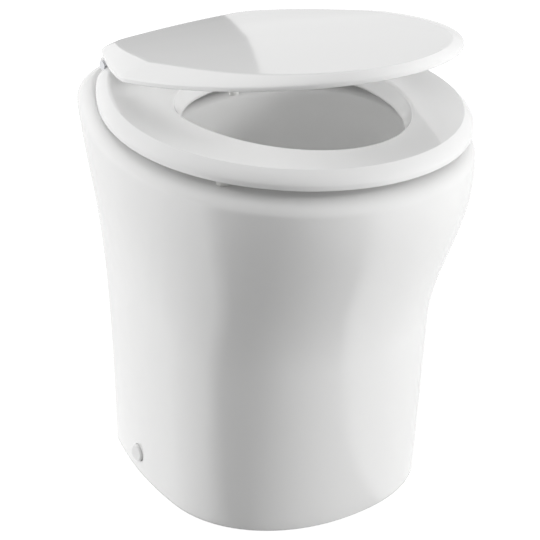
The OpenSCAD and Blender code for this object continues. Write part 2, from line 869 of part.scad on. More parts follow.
vane_n = 6;
module impeller() {
  color([0.6, 0.6, 0.58])
    on_pump_axis() difference() {
      union() {
        rod_y(chamber_r - casting - 5, plate_y - 5, plate_y - 2);
        rod_y(shaft_r + 6, chamber_y + casting + 1.5, plate_y - 2);
        for (i = [0:vane_n - 1]) rotate([0, 360 * i / vane_n, 0])
          block([shaft_r + 3, chamber_y + casting + 1.5, -1.5], [chamber_r - casting - 6, plate_y - 4, 1.5]);
      }
      rod_y(shaft_r, chamber_y, plate_y);
    }
}

module cutter_blade() {
  color(steel)
    on_pump_axis() difference() {
      union() {
        rod_y(shaft_r + 5, cutter_y, cutter_y + cutter_t);
        block([-cutter_r, cutter_y, -5], [cutter_r, cutter_y + cutter_t, 5]);
        for (a = [0, 180]) rotate([0, a, 0]) block([cutter_r - 3, cutter_y - 5, -5], [cutter_r, cutter_y + 1, 5]);
      }
      rod_y(shaft_r, cutter_y - 1, cutter_y + cutter_t + 1);
    }
}

module cutter_nut() {
  color(steel)
    on_pump_axis() difference() {
      hex_y(shaft_r + 4, cutter_y - 6, cutter_y);
      rod_y(shaft_r, cutter_y - 7, cutter_y + 1);
    }
}

// Cradle under the motor, on four rubber isolators

cradle_y = [14, 68];
cradle_t = 12;
cradle_half = 44;
isolator_h = 7;
isolator_r = 8;
cradle_foot = tray_top + isolator_h;
strap_t = 2;
module motor_cradle() {
  color(steel)
    difference() {
      translate([-pump_x, 0, 0]) {
        for (y = cradle_y) {
          block([-cradle_half, y, cradle_foot], [cradle_half, y + cradle_t, pump_z - can_r / 2]);
          translate([0, 0, pump_z]) rod_y(can_r + strap_t, y, y + cradle_t);
        }
        block([-20, cradle_y[0], cradle_foot], [20, cradle_y[1] + cradle_t, cradle_foot + 4]);
      }
      on_pump_axis() rod_y(can_r, cradle_y[0] - 1, cradle_y[1] + cradle_t + 1);
    }
}

module rubber_isolators() {
  color(rubber)
    for (y = cradle_y, s = [-1, 1])
      translate([-pump_x + s * (cradle_half - isolator_r), y + cradle_t / 2, 0]) rod_z(isolator_r, tray_top, cradle_foot);
}

// Rubber boot from the bowl's neck to the pump, with two clamps

neck_out = neck_r + wall;
boot_t = 3.5;
boot_up = 14;
boot_low = barrel_top - 12;
clamp_h = 7;
clamp_t = 1.5;
module outlet_boot() {
  color(rubber)
    translate([0, -sump_y, 0]) rotate_extrude(convexity = 6) polygon([
      [barrel_r, boot_low], [barrel_r + boot_t, boot_low], [barrel_r + boot_t, barrel_top],
      [neck_out + boot_t + 3, barrel_top + 4], [neck_out + boot_t + 3, barrel_top + 7],
      [neck_out + boot_t - 3, neck_z - 2], [neck_out + boot_t, neck_z + 2],
      [neck_out + boot_t, neck_z + boot_up], [neck_out, neck_z + boot_up], [neck_out, neck_z],
      [neck_out - 3, neck_z], [neck_out - 3, neck_z - 2.6], [neck_out + 2.4, barrel_top + 6.4], [neck_out + 2.4, barrel_top + 5],
      [barrel_r - 3, barrel_top + 1.4], [barrel_r - 3, barrel_top], [barrel_r, barrel_top]
    ]);
}

module boot_clamps() {
  color(steel)
    translate([0, -sump_y, 0]) {
      difference() {
        union() {
          rod_z(neck_out + boot_t + clamp_t, neck_z + 5, neck_z + 5 + clamp_h);
          block([-5, -neck_out - boot_t - 9, neck_z + 5], [5, -neck_out, neck_z + 5 + clamp_h]);
        }
        rod_z(neck_out + boot_t, neck_z + 4, neck_z + 6 + clamp_h);
      }
      difference() {
        union() {
          rod_z(barrel_r + boot_t + clamp_t, boot_low + 2, boot_low + 2 + clamp_h);
          block([-5, -barrel_r - boot_t - 9, boot_low + 2], [5, -barrel_r, boot_low + 2 + clamp_h]);
        }
        rod_z(barrel_r + boot_t, boot_low + 1, boot_low + 3 + clamp_h);
      }
    }
}

// Discharge line: elbow, check valve and spigot

line_y = elbow_y + bend_r;
check_y = plate_y + plate_t + 2;
valve_seat_y = check_y + 12;
check_l = 46;
check_end = check_y + check_l;
check_r = 25;
check_bore = 21;
seat_bore = 14;

module discharge_elbow() {
  color(hose_grey)
    difference() {
      union() {
        translate([stub_end, line_y, line_z]) rotate([0, 0, -90]) rotate_extrude(angle = 90)
          translate([bend_r, 0]) circle(r = stub_r);
        translate([0, elbow_y, line_z]) rod_x(stub_r, stub_end - stub_grip, stub_end);
        translate([line_x, 0, line_z]) rod_y(stub_r, line_y, check_y);
      }
      translate([line_x, 0, line_z]) rod_y(stub_bore, line_y, check_y + 1);
      translate([stub_end, line_y, line_z]) rotate([0, 0, -90]) rotate_extrude(angle = 90)
        translate([bend_r, 0]) circle(r = stub_bore);
      translate([0, elbow_y, line_z]) rod_x(stub_r - casting, stub_end - stub_grip - 1, stub_end);
    }
}

flap_r = 15.5;
flap_t = 3;
flap_pin_r = 1.5;
flap_pin_h = 18;
flap_y = valve_seat_y + flap_t / 2;
module check_valve_body() {
  color(hose_grey)
    translate([line_x, 0, line_z]) difference() {
      union() {
        rod_y(check_r, check_y, check_end);
        block([-15, valve_seat_y - 4, 0], [15, valve_seat_y + 12, flap_pin_h + 9]);
      }
      rod_y(stub_bore, check_y - 1, valve_seat_y - 4);
      rod_y(seat_bore, valve_seat_y - 5, valve_seat_y + 1);
      rod_y(check_bore, valve_seat_y, check_end + 1);
      block([-7, valve_seat_y, 0], [7, flap_y + 6, flap_pin_h + 5]);
      block([-7, valve_seat_y - 2, flap_pin_h - 4], [7, flap_y + 6, flap_pin_h + 5]);
      translate([0, flap_y, flap_pin_h]) rod_x(flap_pin_r, -14, 16);
    }
}

module flap_pin() {
  color(steel)
    translate([line_x, flap_y, line_z + flap_pin_h]) rod_x(flap_pin_r, -14, 14);
}

module check_flap() {
  color(rubber)
    translate([line_x, 0, line_z]) difference() {
      union() {
        rod_y(flap_r, valve_seat_y + 0.2, valve_seat_y + flap_t);
        translate([0, flap_y, flap_pin_h]) rod_x(flap_pin_r + 1.2, -6, 6);
        block([-6, valve_seat_y + 0.2, 0], [6, valve_seat_y + flap_t, flap_pin_h]);
      }
      translate([0, flap_y, flap_pin_h]) rod_x(flap_pin_r + run, -7, 7);
    }
}

collar_l = 14;
module discharge_spigot() {
  color(hose_grey)
    translate([line_x, 0, line_z]) difference() {
      union() {
        rod_y(spigot_r, check_end, spigot_end);
        rod_y(check_r, check_end, check_end + 5);
        rod_y(spigot_r + 3, check_end, check_end + collar_l);
      }
      rod_y(spigot_r - 3, check_end - 1, spigot_end + 1);
    }
}

// Hanger clamped by the hinge nuts, which carries the valve, breaker and control box

hanger_y = 60;
hanger_back = hanger_y + hanger_t;
hanger_half = 94;
hanger_foot = 226;
hanger_lip = bolt_y + 14;
module equipment_hanger() {
  color(steel)
    difference() {
      union() {
        block([-hanger_half, hanger_y, hanger_top - hanger_t], [hanger_half, hanger_lip, hanger_top]);
        block([-hanger_half, hanger_y, hanger_foot], [hanger_half, hanger_back, hanger_top]);
      }
      both_sides() translate([post_x, bolt_y, 0]) rod_z(bolt_r, hanger_top - hanger_t - 1, hanger_top + 1);
      block([-20, hanger_y - 1, nozzle_z - 20], [20, hanger_back + 1, hanger_top - hanger_t]);
    }
}

// Water valve, drawn about its upright axis

valve_y = 92;
chamber_top = valve_z + 12;
stem_top = chamber_top + 40;
stem_r = 7.5;
plunger_r = 5;
plunger_l = 24;
plunger_z = chamber_top - 8;
coil_h = 30;
coil_z = chamber_top + 3;
valve_r = 17;
valve_port = 6;
module valve_body() {
  color(plastic)
    translate([valve_x, valve_y, 0]) difference() {
      union() {
        rod_z(valve_r, valve_z - 14, chamber_top);
        rod_z(stem_r, chamber_top, stem_top);
        rod_z(stem_r + 4, chamber_top, coil_z);
        translate([0, 0, valve_z]) {
          rod_y(inlet_r, 0, inlet_end - valve_y);
          rod_y(inlet_r + 3, 12, 20);
          rod_x(barb_r, 0, valve_r + 14);
          rod_x(barb_r + 2, 0, valve_r + 2);
        }
        block([-12, hanger_back - valve_y, valve_z - 14], [12, 0, valve_z + 10]);
      }
      rod_z(plunger_r + run, plunger_z, stem_top - 3);
      rod_z(valve_port, valve_z - 9, plunger_z - 2);
      rod_z(3, valve_z - 9, plunger_z + 1);
      translate([0, 0, valve_z]) {
        rod_y(inlet_r - 3, 10, inlet_end - valve_y + 1);
        rod_y(3, 0, 11);
        rod_x(barb_r - 1.6, 0, valve_r + 15);
      }
    }
}

module solenoid_coil() {
  color([0.12, 0.2, 0.35])
    translate([valve_x, valve_y, 0]) difference() {
      union() {
        block([-15, -13, coil_z], [15, 13, coil_z + coil_h]);
        block([-9, 13, coil_z + 8], [9, 18, coil_z + 22]);
      }
      rod_z(stem_r, coil_z - 1, coil_z + coil_h + 1);
    }
}

module solenoid_plunger() {
  color(steel)
    translate([valve_x, valve_y, 0]) rod_z(plunger_r, plunger_z, plunger_z + plunger_l);
}

// A spring's turns as one unbroken tube of six sides
spring_low = plunger_z + plunger_l;
spring_high = stem_top - 3;
spring_r = 3.6;
spring_wire = 0.5;
spring_turns = 6;
spring_steps = 8;
function spring_centre(a) = [
  spring_r * cos(a), spring_r * sin(a),
  mix(spring_low + spring_wire + 0.1, spring_high - spring_wire - 0.1, a / (360 * spring_turns))
];
function spring_pitch() = (spring_high - spring_low - 2 * spring_wire) / spring_turns;
spring_n = spring_turns * spring_steps;
spring_sides = 6;
module plunger_spring() {
  points = [
    for (i = [0:spring_n])
      let (a = 360 * i / spring_steps, c = spring_centre(a))
      for (j = [0:spring_sides - 1])
        let (b = 360 * j / spring_sides, out = spring_wire * cos(b), up = spring_wire * sin(b))
        [c[0] + out * cos(a), c[1] + out * sin(a), c[2] + up]
  ];
  last = spring_n * spring_sides;
  color(steel)
    translate([valve_x, valve_y, 0])
      polyhedron(points, concat(
        [[for (j = [0:spring_sides - 1]) j]],
        [for (i = [0:spring_n - 1]) for (f = tube_band(i, i + 1, spring_sides)) f],
        [[for (j = [spring_sides - 1:-1:0]) last + j]]
      ));
}
echo(spring_gap = spring_pitch() - 2 * spring_wire);

module inlet_strainer() {
  color(steel)
    translate([valve_x, 0, valve_z]) difference() {
      union() {
        rod_y(inlet_r - 3, inlet_end - 4, inlet_end - 2);
        rod_y(inlet_r - 5, inlet_end - 18, inlet_end - 2);
      }
      rod_y(inlet_r - 6.2, inlet_end - 17, inlet_end - 1);
      for (i = [0:5]) rotate([0, 60 * i, 0]) block([2, inlet_end - 15, -0.8], [inlet_r - 4, inlet_end - 7, 0.8]);
    }
}

// Vacuum breaker

breaker_low = 332;
breaker_high = 370;
breaker_r = 15;
float_z = breaker_low + 18;
float_r = 9;
outlet_z = breaker_low + 26;
module vacuum_breaker_body() {
  color(plastic)
    translate([breaker_x, valve_y, 0]) difference() {
      union() {
        rod_z(breaker_r, breaker_low, breaker_high);
        rod_z(barb_r, breaker_low - 14, breaker_low);
        translate([0, 0, outlet_z]) rod_x(barb_r, -breaker_r - 14, 0);
        block([-10, hanger_back - valve_y, breaker_low + 4], [10, 0, breaker_high - 4]);
      }
      rod_z(barb_r - 1.6, breaker_low - 15, float_z);
      rod_z(breaker_r - 4, float_z - sit, breaker_high + 1);
      translate([0, 0, outlet_z]) rod_x(barb_r - 1.6, -breaker_r - 15, 0);
    }
}

module vacuum_breaker_float() {
  color(rubber)
    translate([breaker_x, valve_y, 0]) {
      rod_z(float_r, float_z, float_z + 4);
      rod_z(3, float_z, float_z + 9);
    }
}

module vacuum_breaker_cap() {
  color(moulding)
    translate([breaker_x, valve_y, 0]) difference() {
      union() {
        rod_z(breaker_r + 1.5, breaker_high, breaker_high + 6);
        rod_z(breaker_r - 4.1, breaker_high - 4, breaker_high);
      }
      rod_z(4, breaker_high - 6, breaker_high + 7);
      rod_z(breaker_r - 6, breaker_high - 6, breaker_high + 3);
    }
}

// Spray nozzle at the back of the rim

nozzle_face = mouth_rear - mouth_y - mouth_taper - 1;
nozzle_back = mouth_rear - mouth_y - mouth_taper + wall + 0.1;
module spray_nozzle() {
  color(plastic)
    translate([0, 0, nozzle_z]) difference() {
      union() {
        rod_y(nozzle_r + 3, nozzle_face - 3.6, nozzle_face);
        rod_y(nozzle_r - 0.2, nozzle_face - 3.6, nozzle_back + 8);
        rod_y(barb_r, nozzle_back + 8, nozzle_back + 24);
      }
      rod_y(barb_r - 1.6, nozzle_face, nozzle_back + 25);
      for (a = [-30, 0, 30]) rotate([0, 0, a]) translate([0, 0, -2]) rod_y(1, nozzle_face - 12, nozzle_face + 8);
    }
}

module nozzle_nut() {
  color(plastic)
    translate([0, 0, nozzle_z]) difference() {
      hex_y(nozzle_r + 5, nozzle_back, nozzle_back + 6);
      rod_y(nozzle_r - 0.2, nozzle_back - 1, nozzle_back + 7);
    }
}

// Hoses and leads: a tube swept along the points of its route

function unit(v) = v / norm(v);
function way(path, i) = unit(path[min(i + 1, len(path) - 1)] - path[max(i - 1, 0)]);
function level(v) = abs(v[2]) > 0.9 ? unit(cross(v, [0, 1, 0])) : unit(cross(v, [0, 0, 1]));

// Frames carried along the path without twisting
function carry(path, i, n) =
  i == len(path) ? []
  : let (t = way(path, i), s = unit(n - t * (n * t)))
    concat([[t, s]], carry(path, i + 1, s));

function tube_points(path, r, sides) =
  let (frames = carry(path, 0, level(way(path, 0))))
  [
    for (i = [0:len(path) - 1])
      let (s = frames[i][1], b = cross(frames[i][0], s))
      for (j = [0:sides - 1])
        let (a = 360 * j / sides) path[i] + s * (r * cos(a)) + b * (r * sin(a))
  ];

function tube_band(i, j, n) = [
  for (k = [0:n - 1])
    for (f = [[i * n + k, j * n + (k + 1) % n, j * n + k], [i * n + k, i * n + (k + 1) % n, j * n + (k + 1) % n]])
      [f[0], f[2], f[1]]
];

module lead(path, r, sides = 8) {
  m = len(path);
  polyhedron(tube_points(path, r, sides), concat(
    [[for (j = [0:sides - 1]) j]],
    [for (i = [0:m - 2]) for (f = tube_band(i, i + 1, sides)) f],
    [[for (j = [sides - 1:-1:0]) (m - 1) * sides + j]]
  ));
}

// A hose with a bore: an outer and an inner tube that share flat end rings
module hose(path, r, bore, sides = 12) {
  m = len(path);
  c = m * sides;
  polyhedron(concat(tube_points(path, r, sides), tube_points(path, bore, sides)), concat(
    [for (i = [0:m - 2]) for (f = tube_band(i, i + 1, sides)) f],
    [for (i = [0:m - 2]) for (f = tube_band(i, i + 1, sides)) [f[0] + c, f[2] + c, f[1] + c]],
    [
      for (j = [0:sides - 1])
        let (k = (j + 1) % sides)
        for (f = [[j, k, c + k], [j, c + k, c + j]]) f
    ],
    [
      for (j = [0:sides - 1])
        let (k = (j + 1) % sides, e = (m - 1) * sides)
        for (f = [[e + j, e + c + k, e + k], [e + j, e + c + j, e + c + k]]) f
    ]
  ));
}

// A smooth bend through two ends, with straight runs of length run_l along the given ways
function bend(p, a, q, b, reach, steps) = [
  for (i = [0:steps])
    let (t = i / steps, u = 1 - t)
    p * (u * u * u) + (p + a * reach) * (3 * u * u * t) + (q + b * reach) * (3 * u * t * t) + q * (t * t * t)
];

hose_r = barb_r + 3;
hose_bore = barb_r + 0.45;
hose_grip = 12;
hose_steps = 12;
supply_from = [valve_x + valve_r + 2.2, valve_y, valve_z];
supply_to = [breaker_x, valve_y, breaker_low - sit];
supply_path = concat(
  [supply_from],
  bend(supply_from + [hose_grip, 0, 0], [1, 0, 0], supply_to - [0, 0, hose_grip], [0, 0, -1], 26, hose_steps),
  [supply_to]
);
module supply_hose() {
  color(hose_grey) hose(supply_path, hose_r, hose_bore);
}

rinse_from = [0, nozzle_back + 8.3, nozzle_z];
rinse_to = [breaker_x - breaker_r - sit, valve_y, outlet_z];
rinse_path = concat(
  [rinse_from],
  bend(rinse_from + [0, hose_grip, 0], [0, 1, 0], rinse_to - [hose_grip, 0, 0], [-1, 0, 0], 30, hose_steps),
  [rinse_to]
);
module rinse_hose() {
  color(hose_grey) hose(rinse_path, hose_r, hose_bore);
}

// Control box on the hanger

box_x = 88;
box_z = 232;
box_back = hanger_back + box_d;
gland_x = -box_x + 16;
gland_y = hanger_back + box_d / 2;
gland_thread = 8;
gland_len = 22;
module control_box() {
  color(moulding)
    difference() {
      block([-box_x, hanger_back, box_z], [-box_x + box_w, box_back, box_z + box_h]);
      block(
        [-box_x + box_wall, hanger_back + box_wall, box_z + box_wall],
        [-box_x + box_w - box_wall, box_back + 1, box_z + box_h - box_wall]
      );
      translate([gland_x, gland_y, 0]) rod_z(gland_thread, box_z - 1, box_z + box_wall + 1);
    }
}

cover_t = 2.5;
module control_box_cover() {
  color([0.35, 0.36, 0.38])
    difference() {
      union() {
        block([-box_x, box_back, box_z], [-box_x + box_w, box_back + cover_t, box_z + box_h]);
        block(
          [-box_x + box_wall + sit, box_back - 3, box_z + box_wall + sit],
          [-box_x + box_w - box_wall - sit, box_back, box_z + box_h - box_wall - sit]
        );
      }
      block(
        [-box_x + 2 * box_wall, box_back - 4, box_z + 2 * box_wall],
        [-box_x + box_w - 2 * box_wall, box_back, box_z + box_h - 2 * box_wall]
      );
    }
}

board_y = hanger_back + box_wall + 6;
module circuit_board() {
  color([0.1, 0.35, 0.2])
    union() {
      block([-box_x + 6, board_y, box_z + 22], [-box_x + box_w - 6, board_y + 1.6, box_z + box_h - 6]);
      for (x = [-box_x + 10, -box_x + box_w - 10], z = [box_z + 27, box_z + box_h - 11])
        translate([x, 0, z]) rod_y(3, hanger_back + box_wall, board_y);
      translate([-box_x + 24, 0, box_z + 50]) rod_y(9, board_y + 1.6, board_y + 20);
      block([-box_x + 42, board_y + 1.6, box_z + 34], [-box_x + 60, board_y + 14, box_z + 50]);
      block([-box_x + 42, board_y + 1.6, box_z + 58], [-box_x + 66, board_y + 10, box_z + 70]);
    }
}

module cable_gland() {
  color(moulding)
    translate([gland_x, gland_y, 0]) difference() {
      union() {
        rod_z(gland_thread, box_z - 2, box_z + box_wall);
        hex_z(12, box_z - 8, box_z);
        rod_z(10, box_z - gland_len, box_z - 8);
        hex_z(11.4, box_z + box_wall, box_z + box_wall + 5);
      }
      rod_z(gland_r, box_z - gland_len - 1, box_z + box_wall + 6);
    }
}

lead_steps = 14;
motor_lead_from = [-pump_x, can_end - lead_r - 0.5, pump_z + can_r + 0.1];
motor_lead_to = [-box_x + 52, gland_y, box_z - sit];
valve_lead_from = [-box_x + box_w + sit, gland_y, coil_z + 16];
valve_lead_to = [valve_x - 15 - sit, valve_y, coil_z + 15];
module equipment_leads() {
  color([0.16, 0.16, 0.17]) {
    lead(bend(motor_lead_from, [0, 0, 1], motor_lead_to, [0, 0, -1], 45, lead_steps), lead_r);
    lead(bend(valve_lead_from, [1, 0, 0], valve_lead_to, [-1, 0, 0], 16, lead_steps), lead_r);
  }
}

ceramic_body();
seat_ring();
seat_bumpers();
lid_shell();
lid_bumpers();
lid_dampers();
left_hinge_post();
right_hinge_post();
left_hinge_pin();
right_hinge_pin();
hinge_bolts();
hinge_washers();
hinge_nuts();
floor_brackets();
side_screws();
side_washers();
screw_caps();
pump_tray();
tray_screws();
rubber_isolators();
motor_cradle();
motor_can();
motor_end_cap();
stator_core();
motor_bearings();
motor_shaft();
armature();
shaft_seal();
macerator_back_plate();
macerator_housing();
impeller();
cutter_blade();
cutter_nut();
housing_o_ring();
housing_screws();
outlet_boot();
boot_clamps();
discharge_elbow();
check_valve_body();
check_flap();
flap_pin();
discharge_spigot();
equipment_hanger();
valve_body();
solenoid_coil();
solenoid_plunger();
plunger_spring();
inlet_strainer();
supply_hose();
vacuum_breaker_body();
vacuum_breaker_float();
vacuum_breaker_cap();
rinse_hose();
spray_nozzle();
nozzle_nut();
control_box();
control_box_cover();
circuit_board();
cable_gland();
equipment_leads();
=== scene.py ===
# A compact electric toilet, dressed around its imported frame. Lengths in the dictionaries are millimetres.
import json
import math

import bpy
import numpy as np
from mathutils import Matrix, Vector


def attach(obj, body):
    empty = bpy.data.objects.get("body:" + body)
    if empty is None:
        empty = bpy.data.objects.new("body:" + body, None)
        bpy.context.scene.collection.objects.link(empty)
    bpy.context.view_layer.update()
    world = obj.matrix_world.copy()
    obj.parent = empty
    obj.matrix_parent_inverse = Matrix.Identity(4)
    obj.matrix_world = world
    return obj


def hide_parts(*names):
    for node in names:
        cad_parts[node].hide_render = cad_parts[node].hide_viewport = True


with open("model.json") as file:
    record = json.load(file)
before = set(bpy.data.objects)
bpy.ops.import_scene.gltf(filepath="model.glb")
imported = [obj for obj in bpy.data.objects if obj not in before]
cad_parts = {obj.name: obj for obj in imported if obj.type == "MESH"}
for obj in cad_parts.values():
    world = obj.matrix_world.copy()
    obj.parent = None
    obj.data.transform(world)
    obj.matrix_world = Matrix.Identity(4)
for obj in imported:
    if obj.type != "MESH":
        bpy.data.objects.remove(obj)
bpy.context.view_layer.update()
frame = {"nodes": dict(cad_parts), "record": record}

cadNodes = frame["nodes"]
mm = 0.001
sharpAngle = math.radians(38)  # an edge that turns by more stays crisp
print("frame loaded with", len(cadNodes), "nodes")

# Camera

# Target and distance in metres, angles in degrees
view = {
    "target": (-0.0206, -0.081, 0.2548), "azimuth": -35.5, "elevation": 25.7, "distance": 2.4,
    "lens": 145.85,
}


# A long lens that looks at the target along the two angles, and a plain view of the tones
def makeCamera():
    a, e = math.radians(view["azimuth"]), math.radians(view["elevation"])
    away = Vector((math.sin(a) * math.cos(e), -math.cos(a) * math.cos(e), math.sin(e)))
    lens = bpy.data.cameras.new("camera")
    lens.lens = view["lens"]
    lens.clip_end = 50
    camera = bpy.data.objects.new("camera", lens)
    camera.location = Vector(view["target"]) + away * view["distance"]
    camera.rotation_euler = away.to_track_quat("Z", "Y").to_euler()
    bpy.context.scene.collection.objects.link(camera)
    bpy.context.scene.camera = camera
    bpy.context.scene.view_settings.view_transform = "Standard"


makeCamera()
print("camera placed")

# Surfaces worked out on grids


# The value a share t of the way from a to b
def mix(a, b, t):
    return a + (b - a) * t


# A rise from 0 to 1 that starts and ends level
def smoothStep(t):
    c = np.clip(t, 0, 1)
    return c * c * (3 - 2 * c)


# Values set one to a row, so that they spread over the points of each ring
def column(values):
    return np.atleast_1d(np.asarray(values, float))[:, None]


# How far round each point of a ring lies: 0 at the front, 1 at the widest section, 2 in the middle behind
def ringParameter(count):
    k = np.arange(count)
    return np.where(k > count // 2, count - k, k) / (count // 4), np.where(k > count // 2, -1.0, 1.0)


# Shares of a rear quarter's points on its side and on its rounded corner; the rest lie on its straight rear
sideShare, turnShare = 0.5625, 0.25


# Rear quarter of an outline: a side drawn in by a power of the distance, a rounded corner, a straight rear
def rearQuarter(q, half, flat, length, radius, power):
    turned = sideShare + turnShare
    start = 1 - radius / length
    draw = half - flat
    startX = half - draw * start**power
    cornerX = startX - power * draw * start ** (power - 1) * (1 - start)
    u = np.clip(q / sideShare, 0, 1) * start
    t = np.clip((q - sideShare) / turnShare, 0, 1)
    s = np.clip((q - turned) / (1 - turned), 0, 1)
    turnX = (1 - t) ** 2 * startX + 2 * t * (1 - t) * cornerX + t**2 * (cornerX - radius)
    turnY = ((1 - t) ** 2 * start + 2 * t * (1 - t) + t**2) * length
    rearX = (cornerX - radius) * (1 - s)
    x = np.where(q <= sideShare, half - draw * u**power, np.where(q <= turned, turnX, rearX))
    y = np.where(q <= sideShare, u * length, np.where(q <= turned, turnY, length))
    return x, y


# Rings with an elliptical front, swollen where full is below 1, and a straight rear; one for each row given
def straightBackRings(count, z, half, flat, wideY, front, rear, radius, power, inset, full=1.0):
    along, side = ringParameter(count)
    sizes = (z, half, flat, wideY, front, rear, radius, inset)
    z, half, flat, wideY, front, rear, radius, inset = (column(v) for v in sizes)
    angle = along[None, :] * math.pi / 2
    q = np.clip(along - 1, 0, 1)[None, :]
    backX, backY = rearQuarter(q, half - inset, flat - inset, rear - inset, radius, power)
    x = np.where(along <= 1, (half - inset) * np.clip(np.sin(angle), 0, 1) ** full, backX)
    y = np.where(along <= 1, -(front - inset) * np.clip(np.cos(angle), 0, 1) ** full, backY) + wideY
    return np.stack(np.broadcast_arrays(x * side, y, z), axis=-1)


# Egg-shaped rings: half an ellipse to the front and another to the rear
def eggRings(count, z, half, wideY, front, rear, inset=0.0):
    z, half, wideY, front, rear, inset = (column(v) for v in (z, half, wideY, front, rear, inset))
    angle = np.arange(count)[None, :] * 2 * math.pi / count
    x = (half - inset) * np.sin(angle)
    y = wideY - (np.where(np.cos(angle) > 0, front, rear) - inset) * np.cos(angle)
    return np.stack(np.broadcast_arrays(x, y, z), axis=-1)


# Rings part way from one ring to another, each at its own height
def ringsBetween(first, last, share, z):
    share, z = column(share)[:, :, None], column(z)
    rings = first[None] + (last - first)[None] * share
    rings[:, :, 2] = z
    return rings


# A skin over rows of rings; it closes on itself, or ends in a point at each end
def loft(name, rings, ends=None):
    rows, cols = rings.shape[:2]
    i, k = np.meshgrid(np.arange(rows if ends is None else rows - 1), np.arange(cols), indexing="ij")
    nextCol = (k + 1) % cols
    row, nextRow = i * cols, (i + 1) % rows * cols
    quads = np.stack([row + k, row + nextCol, nextRow + nextCol, nextRow + k], axis=-1)
    points = rings.reshape(-1, 3)
    faces = quads.reshape(-1, 4).tolist()
    if ends is not None:
        k = np.arange(cols)
        top = (rows - 1) * cols
        points = np.concatenate([points, np.asarray(ends, float)])
        faces += np.stack([np.full(cols, rows * cols), (k + 1) % cols, k], axis=-1).tolist()
        faces += np.stack([np.full(cols, rows * cols + 1), top + k, top + (k + 1) % cols], axis=-1).tolist()
    mesh = bpy.data.meshes.new(name)
    mesh.from_pydata((points * mm).tolist(), [], faces)
    mesh.polygons.foreach_set("use_smooth", np.ones(len(mesh.polygons), bool))
    mesh.set_sharp_from_angle(angle=sharpAngle)
    obj = bpy.data.objects.new(name, mesh)
    bpy.context.scene.collection.objects.link(obj)
    return obj


# A round rod along an axis, from low to high
def rod(name, axis, centre, radius, low, high, count=64):
    u, v = {"x": ((0, 1, 0), (0, 0, 1)), "y": ((0, 0, 1), (1, 0, 0)), "z": ((1, 0, 0), (0, 1, 0))}[axis]
    w, middle = np.cross(u, v), np.asarray(centre, float)
    angle = np.arange(count)[None, :, None] * 2 * math.pi / count
    along = np.array([low, high], float)[:, None, None]
    rings = middle + along * w + radius * (np.cos(angle) * u + np.sin(angle) * v)
    return loft(name, rings, [middle + low * w, middle + high * w])


# A rectangular bar from its lowest to its highest corner
def bar(name, low, high):
    low, high = np.asarray(low, float), np.asarray(high, float)
    corner = np.array([[0, 0], [1, 0], [1, 1], [0, 1]], float)
    rings = np.array([[[*(low[:2] + (high - low)[:2] * c), z] for c in corner] for z in (low[2], high[2])])
    middle = (low + high) / 2
    return loft(name, rings, [[middle[0], middle[1], low[2]], [middle[0], middle[1], high[2]]])


# Joins tools to a piece or cuts them out of it, and leaves one finished mesh
def carve(piece, tools, operation="DIFFERENCE"):
    for tool in tools:
        step = piece.modifiers.new(tool.name, "BOOLEAN")
        step.operation, step.solver, step.object = operation, "EXACT", tool
    bpy.context.view_layer.update()
    shape = piece.evaluated_get(bpy.context.evaluated_depsgraph_get())
    mesh = bpy.data.meshes.new_from_object(shape)
    piece.modifiers.clear()
    piece.data = mesh
    mesh.name = piece.name
    mesh.polygons.foreach_set("use_smooth", np.ones(len(mesh.polygons), bool))
    mesh.set_sharp_from_angle(angle=sharpAngle)
    for tool in tools:
        bpy.data.objects.remove(tool)


# Pan

pan = {
    "height": 421, "width": 376, "front": 294, "rear": 213.8, "flat": 84, "footWidth": 304,
    "footFront": 214, "footRear": 104, "footFlat": 117, "wideY": 80, "wall": 10, "deck": 22, "edge": 18,
    "corner": 26, "deckCorner": 59, "full": 0.94, "lip": 12, "lipTurn": 60, "footSoft": 2.5,
    "mouthHalf": 127, "mouthFront": 172, "mouthRear": 101, "mouthY": 72, "mouthDepth": 42,
    "mouthTaper": 3, "sumpZ": 212, "sumpY": 58, "neck": 36, "neckZ": 182, "swellZ": 390, "swellFrom": 200,
    "swellTo": 385, "swellShare": 0.58, "power": 2, "leanPower": 2.5, "bowlPower": 0.9, "nozzleDrop": 63,
    "nozzleHole": 8, "nozzleReach": 60,
}
arch = {
    "half": 88, "top": 330, "low": -20, "middle": 100, "radius": 40, "front": 75, "soft": 5, "inside": 20,
    "outside": 30,
}
hinge = {"y": 124, "z": 449, "bolt": 104, "boltHole": 4.8, "boltPast": 5, "post": 69}
sideScrew = {"z": 28, "hole": 3.6, "spot": 11, "seat": 2, "inside": 60, "outside": 20}


# How far the front and the sides have swelled out at height z, from 0 to 1
def wallSwell(z):
    climb = smoothStep((z - pan["swellFrom"]) / (pan["swellTo"] - pan["swellFrom"]))
    return (1 - pan["swellShare"]) * np.minimum(z / pan["swellZ"], 1) + pan["swellShare"] * climb


# How far the rear wall has leaned back at height z, from 0 to 1
def rearLean(z):
    return (np.clip(z, 0, None) / pan["height"]) ** pan["leanPower"]


# Where the rear wall stands at height z
def wallRear(z):
    return mix(pan["footRear"], pan["rear"], rearLean(z))


# Rings of the pan's outside at heights z, drawn in by inset
def wallRings(count, z, inset):
    z = np.atleast_1d(np.asarray(z, float))
    swell, lean = wallSwell(z), rearLean(z)
    return straightBackRings(
        count, z, mix(pan["footWidth"], pan["width"], swell) / 2, mix(pan["footFlat"], pan["flat"], lean),
        -pan["wideY"], mix(pan["footFront"], pan["front"], swell) - pan["wideY"], wallRear(z) + pan["wideY"],
        mix(pan["corner"], pan["deckCorner"], lean), pan["power"], inset, pan["full"],
    )


# Rings of the egg-shaped mouth at heights z, drawn in by inset
def mouthRings(count, z, inset):
    return eggRings(count, z, pan["mouthHalf"], -pan["mouthY"], pan["mouthFront"], pan["mouthRear"], inset)


